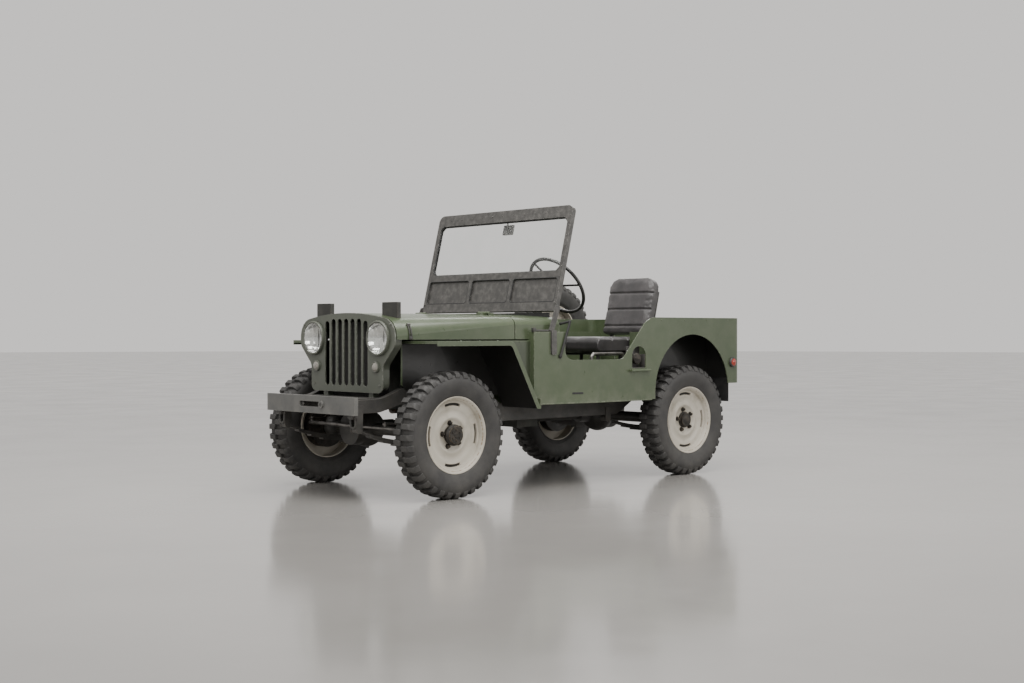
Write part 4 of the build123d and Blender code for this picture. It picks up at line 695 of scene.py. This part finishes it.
def wheel_form():
    """A pressed wheel about the y axis, outer face to +y, with four crescent slots whose pockets are dark
    as painted shade of openings, and five nuts.
    """
    bm = bmesh.new()
    faces = lathe(bm, WHEEL_ROWS, (0, 0, 0), Y, WHEEL_STEPS)
    pockets = []
    for face in faces:
        centre = face.calc_center_median()
        spoke = Vector((centre.x, 0, centre.z))
        if centre.y < FACE_LOW_Y or not SLOT_IN_R < spoke.length < SLOT_OUT_R:
            continue
        quarter = abs(spoke.angle(X) % (pi / 2) - pi / 4)
        if quarter > pi / 4 - SLOT_HALF_ANGLE:
            pockets.append(face)
    grown = bmesh.ops.extrude_face_region(bm, geom=pockets)["geom"]
    floor = [item for item in grown if isinstance(item, bmesh.types.BMVert)]
    bmesh.ops.translate(bm, verts=floor, vec=(0, -SLOT_DEPTH, 0))
    bmesh.ops.delete(bm, geom=pockets, context="FACES_ONLY")
    # The pockets' walls and floors take the dark hub iron: painted shade standing for the slots' openings
    for item in grown:
        if isinstance(item, bmesh.types.BMFace):
            item.material_index = 1
    for turn in turns(NUT_COUNT, "Y", NUT_START):
        seat = turn @ Vector((0, NUT_SEAT_Y, NUT_RING_R))
        for start, end, radius, sides, tip in NUT_ROWS:
            bar(bm, seat + Y * start, seat + Y * end, radius, sides, 1, tip)
    return bm


# Noses of the hubs as (radius, along): a drive flange in front, a plain cap behind
FRONT_HUB_ROWS = (
    (0.0, 0.060), (0.0, 0.0635), (0.014, 0.0635), (0.017, 0.0600), (0.040, 0.0600),
    (0.046, 0.0590), (0.0610, 0.0440), (0.0610, 0.0300), (0.0500, 0.0300), (0.0490, 0.0560),
)
REAR_HUB_ROWS = (
    (0.0, 0.0300), (0.0, 0.0440), (0.016, 0.0440), (0.026, 0.0420), (0.034, 0.0380),
    (0.0455, 0.0360), (0.0455, 0.0260), (0.0520, 0.0240), (0.0520, 0.0160), (0.0445, 0.0160),
)
HUB_STEPS = 40
HUB_BOLT_COUNT = 6
HUB_BOLT_SIZE = 0.0068
HUB_BOLT = Vector((0, 0.0600, 0.0300))


def hub_trim(front):
    """Bolts and cap on a hub's nose."""
    bm = bmesh.new()
    lathe(bm, FRONT_HUB_ROWS if front else REAR_HUB_ROWS, (0, 0, 0), Y, HUB_STEPS)
    if front:
        for turn in turns(HUB_BOLT_COUNT, "Y"):
            bolt(bm, turn @ HUB_BOLT, Y, HUB_BOLT_SIZE)
    return bm


def put_wheel(form, name, materials, place, body, replaced=None):
    """A copy of a wheel piece at an axle end; the right side is mirrored."""
    bm = form.copy()
    outward = 1 if place.y > 0 else -1
    matrix = Matrix.Translation(place) @ Matrix.Diagonal((1, outward, 1, 1))
    bmesh.ops.transform(bm, matrix=matrix, verts=bm.verts)
    piece = keep(name, bm, materials, body)
    if replaced:
        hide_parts(replaced)


def wheels():
    """Four wheels and the spare."""
    tyre = tyre_form()
    wheel = wheel_form()
    trims = {"front": hub_trim(True), "rear": hub_trim(False)}
    rubber = [tyre_rubber]
    pressed = [wheel_cream, hub_iron]
    for axle, x in (("front", 0.0), ("rear", REAR_X)):
        for name, side in (("left", 1), ("right", -1)):
            end = f"{axle}_{name}"
            place = Vector((x, side * TRACK_HALF, AXLE_Z))
            body = f"wheel_{end}"
            put_wheel(tyre, f"lugged_tyre_{end}", rubber, place, body, f"tyre_{end}")
            put_wheel(wheel, f"pressed_wheel_{end}", pressed, place, body, f"wheel_{end}")
            put_wheel(trims[axle], f"hub_trim_{end}", [hub_iron], place, body)
    put_wheel(tyre, "lugged_tyre_spare", rubber, SPARE, "chassis", "spare_tyre")
    put_wheel(wheel, "pressed_wheel_spare", pressed, SPARE, "chassis", "spare_wheel")
    for form in (tyre, wheel, *trims.values()):
        form.free()


# Lamps

HEADLAMP_STEPS = 56
SMALL_LAMP_STEPS = 36
# The headlamp's painted rim starts at this radius, and the marker's lens ends at this one
RIM_IN_R = 0.089
MARKER_LENS_R = 0.025


def headlamp_bowl(bm, side):
    """Rim, hollow reflector and bulb of one headlamp."""
    place = Vector((HEADLAMP.x, side * HEADLAMP.y, HEADLAMP.z))
    rim = (
        (0.0905, 0.0160), (0.0940, 0.0185), (0.0990, 0.0170), (0.1018, 0.0110), (0.1018, 0.0020),
        (0.0930, 0.0000), (0.0915, -0.0200), (0.0700, -0.0480), (0.0300, -0.0500), (0.0, -0.0500),
        (0.0, -0.0430), (0.0250, -0.0420), (0.0520, -0.0320), (0.0740, -0.0120), (0.0880, 0.0120),
    )
    lathe(
        bm, rim, place, X, HEADLAMP_STEPS,
        lambda radius, along: 1 if radius > RIM_IN_R and along > 0.001 else 0,
    )
    bar(bm, place - X * 0.042, place - X * 0.010, 0.011, 14, 0, 0.008)


def headlamp_pieces():
    """Both headlamps' bowls."""
    bm = bmesh.new()
    for side in SIDES:
        headlamp_bowl(bm, side)
    piece = keep("headlamp_bowls", bm, [bright_metal, grille_green], "chassis")
    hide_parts("headlamps")


def marker_pieces():
    """Small front lamps with domed lenses."""
    bm = bmesh.new()
    for side in SIDES:
        place = Vector((MARKER.x, side * MARKER.y, MARKER.z))
        rows = (
            (0.0, 0.0195), (0.0120, 0.0185), (0.0200, 0.0155), (0.0250, 0.0110), (0.0290, 0.0125),
            (0.0325, 0.0095), (0.0330, 0.0), (0.0260, 0.0), (0.0260, -0.0300), (0.0, -0.0300),
        )
        lathe(bm, rows, place, X, SMALL_LAMP_STEPS, inner_finish(MARKER_LENS_R, 0, 1))
    piece = keep("front_marker_lamps", bm, [pale_lens, grille_green], "chassis")
    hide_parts("marker_lamps")


def rear_lamp_pieces():
    """Red lamps at the rear corners and on the left side."""
    bm = bmesh.new()
    # Shares of the lamp's radius and depth
    rows = (
        (0.0, 1.0), (0.30, 0.96), (0.55, 0.84), (0.72, 0.66), (0.84, 0.70),
        (0.96, 0.55), (1.0, 0.40), (1.0, 0.0), (0.0, 0.0),
    )
    # Place, axis, radius and depth
    lamps = (
        (SIDE_LAMP, Y, 0.034, 0.024),
        (REAR_LAMP, -X, 0.045, 0.030),
        (Vector((REAR_LAMP.x, -REAR_LAMP.y, REAR_LAMP.z)), -X, 0.045, 0.030),
    )
    for place, axis, radius, depth in lamps:
        scaled = [(share * radius, along * depth) for share, along in rows]
        lens_or_rim = inner_finish(0.74 * radius, 0, 1)
        lathe(bm, scaled, place, axis, SMALL_LAMP_STEPS, lens_or_rim)
    piece = keep("red_lamps", bm, [red_lens, chassis_black], "chassis")
    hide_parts("rear_lamps")


# Windscreen


def on_screen(across, up, out=0.0):
    """A point of the leaning windscreen: across it, up it and out from its front face."""
    return PIVOT + Y * across + SCREEN_UP * up + SCREEN_OUT * (SCREEN_T / 2 + out)


def screen_loop(left, right, low, high, corner, out):
    """Points round a rectangle of the screen with its corners cut, back to the first."""
    rows = (
        (left + corner, low), (right - corner, low), (right, low + corner), (right, high - corner),
        (right - corner, high), (left + corner, high), (left, high - corner), (left, low + corner),
        (left + corner, low),
    )
    return [on_screen(across, up, out) for across, up in rows]


def screen_trim():
    """Seals round the pane, dark rods round the panels as painted shade of the gaps round them, and rivets
    over the frame.
    """
    bm = bmesh.new()
    half = GLASS_HALF_W + 0.002
    sunk = 0.009
    seal_r = 0.0065
    for out in (-sunk, -SCREEN_T + sunk):
        rod(bm, screen_loop(-half, half, GLASS_LOW, GLASS_TOP, GLASS_CORNER, out), seal_r)
    # Dark rods round the three panels: painted shade of the gaps round them
    gap_shade_r = 0.0040
    for left, right in PANELS:
        rod(bm, screen_loop(left, right, PANEL_LOW, PANEL_TOP, PANEL_CORNER, -0.003), gap_shade_r)
    edge = SCREEN_HALF_W - 0.012
    for side in SIDES:
        for i in range(9):
            rivet(bm, on_screen(side * edge, 0.07 + i * 0.065), SCREEN_OUT, 0.0045, 1)
        bolt(bm, on_screen(side * edge, SCREEN_LOW + 0.05), SCREEN_OUT, 0.006, 1)
    for i in range(11):
        rivet(bm, on_screen(-0.5 + i * 0.1, SCREEN_TOP - 0.036), SCREEN_OUT, 0.0050, 1)
    keep("screen_seals_gap_shade_and_rivets", bm, [seal_rubber, screen_grey], "windscreen")


def inside_mirror():
    """Small mirror on an arm behind the pane."""
    bm = bmesh.new()
    head = on_screen(0.020, GLASS_TOP + 0.02, -SCREEN_T)
    centre = on_screen(0.020, GLASS_TOP - 0.040, -SCREEN_T - 0.026)
    bar(bm, head, centre, 0.005, 10, 0)
    turn = Matrix.Rotation(-SCREEN_LEAN, 4, "Y")
    size = Vector((0.007, 0.046, 0.033))
    slab(bm, centre - size, centre + size, 0.004, 0, turn)
    glass = centre - SCREEN_OUT * 0.0085
    thin = Vector((0.0008, 0.041, 0.028))
    slab(bm, glass - thin, glass + thin, 0.0004, 1, turn)
    keep("inside_mirror", bm, [bumper_grey, bright_metal], "windscreen")


# Seats

SEAT_VOXEL = 0.009
# The form starts this much smaller on each side and may swell by no more than the second length
SEAT_SHRINK = 0.006
PUFF_MOST = 0.012
PUFF_PRESSURE = 4
PUFF_FRAMES = 20
# Sewn channels: width, depth and how squarely a face has to look outwards to carry one
CHANNEL_W = 0.007
CHANNEL_DEPTH = 0.009
CHANNEL_FACING = 0.25
# Heights up the back and distances from the cushion's rear edge
BACK_CHANNELS = (0.062, 0.177, 0.289)
CUSHION_CHANNELS = (0.150, 0.300)


def seat_form(node_name, shrink):
    """A slightly smaller copy of a seat solid, remeshed for the cloth."""
    bm = bmesh.new()
    bm.from_mesh(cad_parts[node_name].data)
    bmesh.ops.remove_doubles(bm, verts=bm.verts, dist=1e-5)
    centre = middle(node_name)
    low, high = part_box(node_name)
    size = Vector(high) - Vector(low)
    scale = [1 - 2 * shrink / length for length in size]
    bmesh.ops.scale(bm, vec=scale, space=Matrix.Translation(-centre), verts=bm.verts)
    mesh = bpy.data.meshes.new(node_name + "_soft")
    bm.to_mesh(mesh)
    bm.free()
    piece = bpy.data.objects.new(node_name + "_soft", mesh)
    bpy.context.scene.collection.objects.link(piece)
    remesh = piece.modifiers.new("even", "REMESH")
    remesh.mode = "VOXEL"
    remesh.voxel_size = SEAT_VOXEL
    take_shape(piece)
    return piece


def take_shape(piece):
    """Makes the shape that the modifiers give the piece's own."""
    graph = bpy.context.evaluated_depsgraph_get()
    shaped = bpy.data.meshes.new_from_object(piece.evaluated_get(graph))
    piece.modifiers.clear()
    piece.data = shaped


def puff(piece, most):
    """Blows the form up as cloth under pressure, no point further than the most."""
    rest = [vert.co.copy() for vert in piece.data.vertices]
    cloth = piece.modifiers.new("cloth", "CLOTH")
    settings = cloth.settings
    settings.quality = 4
    settings.use_pressure = True
    settings.uniform_pressure_force = PUFF_PRESSURE
    settings.effector_weights.gravity = 0
    scene = bpy.context.scene
    for step in range(1, PUFF_FRAMES + 1):
        scene.frame_set(step)
    take_shape(piece)
    scene.frame_set(1)
    for vert, start in zip(piece.data.vertices, rest):
        move = vert.co - start
        if move.length > most:
            vert.co = start + move.normalized() * most


def groove(piece, origin, along, out, lines, width, depth):
    """Presses sewn channels into the side of a piece that faces outwards."""
    for vert in piece.data.vertices:
        if vert.normal.dot(out) < CHANNEL_FACING:
            continue
        place = (vert.co - origin).dot(along)
        near = min(abs(place - line) for line in lines)
        vert.co -= out * depth * exp(-(near / width) ** 2)


BACK_LEAN = radians(14)
BACK_UP = Vector((-sin(BACK_LEAN), 0, cos(BACK_LEAN)))
BACK_OUT = Vector((cos(BACK_LEAN), 0, sin(BACK_LEAN)))


def seat_piece(node_name, channels, along, out):
    """One seat cushion or back as stuffed vinyl, with its sewn channels."""
    piece = seat_form(node_name, SEAT_SHRINK)
    puff(piece, PUFF_MOST)
    smooth = piece.modifiers.new("fine", "SUBSURF")
    smooth.levels = 1
    smooth.render_levels = 1
    take_shape(piece)
    low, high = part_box(node_name)
    origin = Vector((middle(node_name).x, middle(node_name).y, low[2]))
    if along is X:
        origin = Vector((low[0], middle(node_name).y, high[2]))
    groove(piece, origin, along, out, channels, CHANNEL_W, CHANNEL_DEPTH)
    piece.data.materials.clear()
    piece.data.materials.append(black_vinyl)
    piece.data.shade_smooth()
    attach(piece, "chassis")
    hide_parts(node_name)


def driver_seat():
    """The driver's seat: pleated back and plainer cushion."""
    seat_piece("seat_back", BACK_CHANNELS, BACK_UP, BACK_OUT)
    seat_piece("seat_cushion", CUSHION_CHANNELS, X, Z)


# Body details

FENDER_RIVETS_X = (-0.02, -0.16, -0.30)
FENDER_RIVETS_Y = 0.690
TUB_RIVETS_X = (-1.72, -1.95, -2.18, -2.40)
TUB_RIVETS_Z = TUB_TOP_Z - 0.018
# Across and up
GRILLE_BOLTS = ((0.318, 0.635), (0.318, 0.820), (0.418, 0.985))
REAR_RIVETS = ((0.49, 0.69), (0.49, 0.98))


def body_bolts():
    """Rivets over the tub and fenders, and bolts on the grille."""
    bm = bmesh.new()
    for side in SIDES:
        for x in FENDER_RIVETS_X:
            rivet(bm, (x, side * FENDER_RIVETS_Y, FENDER_TOP_Z), Z, 0.006)
        for x in TUB_RIVETS_X:
            rivet(bm, (x, side * TUB_HALF_W, TUB_RIVETS_Z), Y * side, 0.005)
        for y, z in GRILLE_BOLTS:
            bolt(bm, (GRILLE_X, side * y, z), X, 0.006, 1)
        for y, z in REAR_RIVETS:
            rivet(bm, (TUB_REAR_X, side * y, z), -X, 0.006)
    keep("body_bolts", bm, [body_green, grille_green], "chassis")


def bumper_fittings():
    """A dark disc in the bumper's boss as painted shade of its hole, a plug in its slot and a shackle under
    each frame horn.
    """
    bm = bmesh.new()
    # Dark disc on the boss: painted shade of the hole
    bar(bm, BOSS - X * 0.002, BOSS + X * 0.0004, 0.011, 24, 0)
    plug_y = -0.070
    bar(bm, (BUMPER_X - 0.020, plug_y, BOSS.z), (BUMPER_X - 0.006, plug_y, BOSS.z), 0.010, 16, 0)
    x = 0.478
    pin_z = 0.468
    low_z = pin_z - 0.040
    spread_y = 0.022
    wire_r = 0.007
    for side in SIDES:
        y = side * 0.349
        bar(bm, (x, y - 0.040, pin_z), (x, y + 0.040, pin_z), 0.011, 16, 0)
        slab(bm, (x - 0.02, y - 0.018, pin_z - 0.014), (x + 0.02, y + 0.018, pin_z + 0.026), 0.004, 0)
        for leg in (-spread_y, spread_y):
            bar(bm, (x, y + leg, pin_z), (x, y + leg, low_z), wire_r, 14, 0)
        half_hoop(bm, (x, y, low_z), -X, Y, spread_y, wire_r)
    keep("bumper_fittings", bm, [chassis_black], "chassis")


def hood_latches():
    """A spring latch on each side of the hood near its front."""
    bm = bmesh.new()
    for side in SIDES:
        x = 0.171
        # Down the hood's round shoulder to its side, as (out, up)
        rows = ((0.456, 0.984), (0.470, 0.956), (0.477, 0.930), (0.478, 0.904))
        places = [Vector((x, side * out, up)) for out, up in rows]
        for start, end in zip(places, places[1:]):
            for along in (-0.007, 0.007):
                bar(bm, start + X * along, end + X * along, 0.004, 10, 0)
        bar(bm, places[0] - X * 0.012, places[0] + X * 0.012, 0.006, 12, 0)
        foot = places[-1]
        slab(bm, foot - Vector((0.012, 0.004, 0.006)), foot + Vector((0.012, 0.004, 0.012)), 0.002, 0)
    keep("hood_latches", bm, [chassis_black], "hood")


def filler():
    """Fuel filler neck and cap inside the recess of the left side, with black plates lining the recess as
    painted shade.
    """
    bm = bmesh.new()
    depth = 0.052
    back = FILLER.y - depth
    foot = 0.716
    # Black plates on the recess's back, sides and floor: painted shade in the recess
    slab(bm, (FILLER.x - 0.062, back - 0.006, foot), (FILLER.x + 0.062, back, 0.848), 0.002, 1)
    for edge in (-1, 1):
        x = FILLER.x + edge * 0.0655
        slab(bm, (x - 0.002, back, foot), (x + 0.002, FILLER.y - 0.008, 0.800), 0.001, 1)
    slab(bm, (FILLER.x - 0.064, back, foot - 0.004), (FILLER.x + 0.064, FILLER.y - 0.007, foot), 0.001, 1)
    rows = (
        (0.0, 0.044), (0.026, 0.044), (0.034, 0.040), (0.036, 0.032),
        (0.036, 0.022), (0.031, 0.020), (0.030, 0.0), (0.0, 0.0),
    )
    lathe(bm, rows, (FILLER.x, back, FILLER.z), Y, 32)
    slab(bm, (FILLER.x - 0.024, back + 0.044, 0.768), (FILLER.x + 0.024, back + 0.049, 0.776), 0.002, 0)
    keep("fuel_filler", bm, [hub_iron, chassis_black], "chassis")


def dashboard():
    """Gauges, knobs and a locker lid on the dash."""
    bm = bmesh.new()
    # Across, up and radius
    dials = (
        (0.0, 0.968, 0.056), (-0.098, 1.000, 0.028), (-0.098, 0.934, 0.028),
        (0.098, 1.000, 0.028), (0.098, 0.934, 0.028),
    )
    for y, z, radius in dials:
        place = Vector((DASH_X, y, z))
        rows = (
            (0.0, 0.004), (radius * 0.86, 0.004), (radius * 0.90, 0.010),
            (radius, 0.008), (radius, 0.0), (0.0, 0.0),
        )
        lathe(bm, rows, place, -X, 36, inner_finish(radius * 0.87, 1, 0))
        for turn in turns(12, "X"):
            tick = turn @ Vector((0, 0, radius * 0.74))
            bar(bm, place + tick * 0.92 - X * 0.004, place + tick * 1.08 - X * 0.0046, radius * 0.025, 6, 0)
        needle = Matrix.Rotation(radians(40), 4, "X") @ Vector((0, 0, radius * 0.66))
        bar(bm, place - X * 0.0055, place + needle - X * 0.0055, radius * 0.03, 6, 0)
    for y in (0.20, 0.27, 0.42, -0.20):
        knob = Vector((DASH_X - 0.020, y, 0.925))
        bar(bm, knob + X * 0.020, knob, 0.005, 10, 0)
        bar(bm, knob, knob - X * 0.010, 0.012, 18, 0, 0.010)
    slab(bm, (DASH_X - 0.006, -0.50, 0.900), (DASH_X, -0.26, 1.000), 0.002, 2)
    bar(bm, (DASH_X - 0.006, -0.38, 0.985), (DASH_X - 0.020, -0.38, 0.985), 0.010, 16, 0)
    keep("dash_dials", bm, [black_bakelite, dial_face, body_green], "chassis")


def pedals():
    """Clutch, brake and throttle pedals."""
    bm = bmesh.new()
    wall = TUB_FRONT_X - 0.006
    tilt = Matrix.Rotation(radians(-30), 4, "Y")
    # Across, reach from the wall and half width of the pad
    for y, reach, half in ((0.400, 0.150, 0.034), (0.215, 0.150, 0.034), (0.120, 0.080, 0.024)):
        pad = Vector((wall - reach, y, 0.655))
        size = Vector((0.006, half, 0.030))
        bar(bm, (wall, y, 0.70), pad, 0.009, 12, 0)
        slab(bm, pad - size, pad + size, 0.003, 1, tilt)
    keep("pedals", bm, [chassis_black, seal_rubber], "chassis")


def rear_handles():
    """A grab handle at each rear corner."""
    bm = bmesh.new()
    reach = X * 0.030
    grip_r = 0.007
    for side in SIDES:
        rear = Vector((TUB_REAR_X - 0.001, side * 0.60, 0.900))
        for z in (-0.05, 0.05):
            bar(bm, rear + Z * z, rear + Z * z - reach, grip_r, 12, 0)
        bar(bm, rear - Z * 0.055 - reach, rear + Z * 0.055 - reach, grip_r, 12, 0)
    keep("rear_handles", bm, [body_green], "chassis")


# The tub's taper: where it starts, its length, how far it comes in and its angle
TAPER_X = -1.120
TAPER_L = 0.480
TAPER_IN = 0.065
TAPER_ANGLE = radians(7.7)


def tub_half_w(x):
    """Half width of the tub at x; it tapers in towards the front."""
    share = min(max((x - TAPER_X) / TAPER_L, 0.0), 1.0)
    return TUB_HALF_W - TAPER_IN * share


def cowl_seal(bm):
    """Rubber between the crowned cowl and the windscreen's foot."""
    half = 0.560
    low = 1.040
    high = 1.0585
    size = Matrix.Diagonal((0.014, 2 * half, high - low, 1))
    place = Matrix.Translation((PIVOT.x, 0, (low + high) / 2))
    made = bmesh.ops.create_cube(bm, size=1, matrix=place @ size)
    edges = {edge for vert in made["verts"] for edge in vert.link_edges}
    lengthwise = [edge for edge in edges if edge.verts[0].co.y * edge.verts[1].co.y < 0]
    bmesh.ops.subdivide_edges(bm, edges=lengthwise, cuts=27)
    for vert in bm.verts:
        if vert.co.z < (low + high) / 2:
            vert.co.z = COWL_TOP_Z - COWL_CROWN * (vert.co.y / half) ** 2 - 0.004


def cowl_fittings():
    """Rubber under the windscreen, a grab rod at each door, a dark bar on each ledge for the hood bracket
    that also paints shadow along the ledge's edge, and a dark slab on the left as painted shade of a slot.
    """
    bm = bmesh.new()
    cowl_seal(bm)
    grab_x = -0.830
    ledge_front = TUB_FRONT_X - 0.006
    ledge_rear = -0.752
    ledge_z = 0.949
    inset = 0.010
    for side in SIDES:
        low = Vector((grab_x, side * (tub_half_w(grab_x) + 0.007), 0.794))
        bend = Vector((-0.900, side * 0.684, 1.005))
        dash = Vector((DASH_X - 0.002, side * 0.595, 0.985))
        rod(bm, (low, bend, dash), 0.008)
        bolt(bm, low - Y * side * 0.005, Y * side, 0.011)
        front = Vector((ledge_front, side * (tub_half_w(ledge_front) - inset), ledge_z))
        rear = Vector((ledge_rear, side * (tub_half_w(ledge_rear) - inset), ledge_z))
        # Dark bar along the ledge: the hood bracket, and also painted shadow along the ledge's edge
        bar(bm, front, rear, 0.006, 12, 1)
        slab(bm, front - Vector((0.012, 0.010, 0.008)), front + Vector((0.012, 0.010, 0.018)), 0.002, 1)
    # A dark slab on the side stands for the slot: painted shade of the opening
    slot_x = -0.967
    y = tub_half_w(slot_x)
    turn = Matrix.Rotation(-TAPER_ANGLE, 4, "Z")
    slab(bm, (slot_x - 0.042, y - 0.003, 0.562), (slot_x + 0.042, y + 0.001, 0.574), 0.0008, 0, turn)
    keep("cowl_fittings", bm, [seal_rubber, chassis_black], "chassis")


def seat_tube():
    """Pale hoop of tube beside the driver's cushion, standing on the floor."""
    bm = bmesh.new()
    low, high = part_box("seat_cushion")
    y = high[1] - SHIFT.y - 0.012
    top = low[2] - 0.011
    front_x = -1.300
    rear_x = -1.600
    bend = 0.018
    places = (
        (rear_x, FLOOR_Z), (rear_x, top - bend), (rear_x + bend, top),
        (front_x - bend, top), (front_x, top - bend), (front_x, FLOOR_Z),
    )
    rod(bm, [Vector((x, y, z)) for x, z in places], 0.011)
    keep("seat_tube", bm, [grey_steel], "chassis")


def steering_button():
    """Horn button in the middle of the steering wheel."""
    bm = bmesh.new()
    angle = radians(36)
    axis = Vector((-cos(angle), 0, sin(angle)))
    centre = middle("steering_wheel") - SHIFT
    rows = ((0.0, 0.026), (0.014, 0.025), (0.022, 0.021), (0.025, 0.017), (0.0, 0.017))
    lathe(bm, rows, centre, axis, 32)
    keep("horn_button", bm, [black_bakelite], "steering_wheel")


# Stage


def stage():
    """Floor, lights and camera."""
    bm = bmesh.new()
    bmesh.ops.create_circle(bm, cap_ends=True, segments=96, radius=60)
    mesh = bpy.data.meshes.new("studio_floor")
    bm.to_mesh(mesh)
    bm.free()
    floor = bpy.data.objects.new("studio_floor", mesh)
    bpy.context.scene.collection.objects.link(floor)
    material, tree, shader, coords = start_material("studio_floor")
    clouds = noise(tree, coords, 0.6, 6, 0.6)
    tone = ramp(tree, clouds, ((0.3, (0.285, 0.276, 0.262)), (0.7, (0.325, 0.314, 0.298))))
    tree.links.new(tone, shader.inputs["Base Color"])
    gloss = spread(tree, noise(tree, coords, 1.4, 5, 0.6), 0.3, 0.7, 0.10, 0.17)
    tree.links.new(gloss, shader.inputs["Roughness"])
    mesh.materials.append(material)
    world = bpy.data.worlds.new("studio")
    bpy.context.scene.world = world
    world.use_nodes = True
    sky = world.node_tree.nodes["Background"]
    sky.inputs["Color"].default_value = (0.93, 0.905, 0.88, 1)
    sky.inputs["Strength"].default_value = 0.92
    # Name, place, size across and along, power
    panels = (
        ("ceiling_middle", (1.2, 1.2, 4.6), 5.0, 3.4, 330),
        ("ceiling_front", (5.0, 5.5, 4.4), 4.0, 2.0, 170),
        ("ceiling_rear", (-4.2, -2.0, 4.6), 4.0, 3.0, 150),
        ("side_fill", (-4.0, 6.5, 2.4), 4.0, 2.0, 90),
    )
    # All of them point here
    lit = Vector((0, 0, 0.6))
    for name, place, across, along, power in panels:
        light = bpy.data.lights.new(name, "AREA")
        light.shape = "RECTANGLE"
        light.size = across
        light.size_y = along
        light.energy = power
        light.color = (1.0, 0.985, 0.96)
        lamp = bpy.data.objects.new(name, light)
        lamp.location = place
        lamp.rotation_euler = (lit - Vector(place)).to_track_quat("-Z", "Y").to_euler()
        bpy.context.scene.collection.objects.link(lamp)
    camera_data = bpy.data.cameras.new("photo_camera")
    camera_data.lens = CAMERA_LENS
    camera_data.sensor_width = SENSOR_W
    camera_data.sensor_fit = "HORIZONTAL"
    camera = bpy.data.objects.new("photo_camera", camera_data)
    camera.location = CAMERA_PLACE + SHIFT
    level = cos(CAMERA_PITCH)
    look = Vector((cos(CAMERA_YAW) * level, sin(CAMERA_YAW) * level, sin(CAMERA_PITCH)))
    camera.rotation_euler = look.to_track_quat("-Z", "Y").to_euler()
    bpy.context.scene.collection.objects.link(camera)
    bpy.context.scene.camera = camera


stage()
dress_solids()
wheels()
headlamp_pieces()
marker_pieces()
rear_lamp_pieces()
screen_trim()
inside_mirror()
driver_seat()
body_bolts()
bumper_fittings()
hood_latches()
filler()
dashboard()
pedals()
rear_handles()
steering_button()
cowl_fittings()
seat_tube()
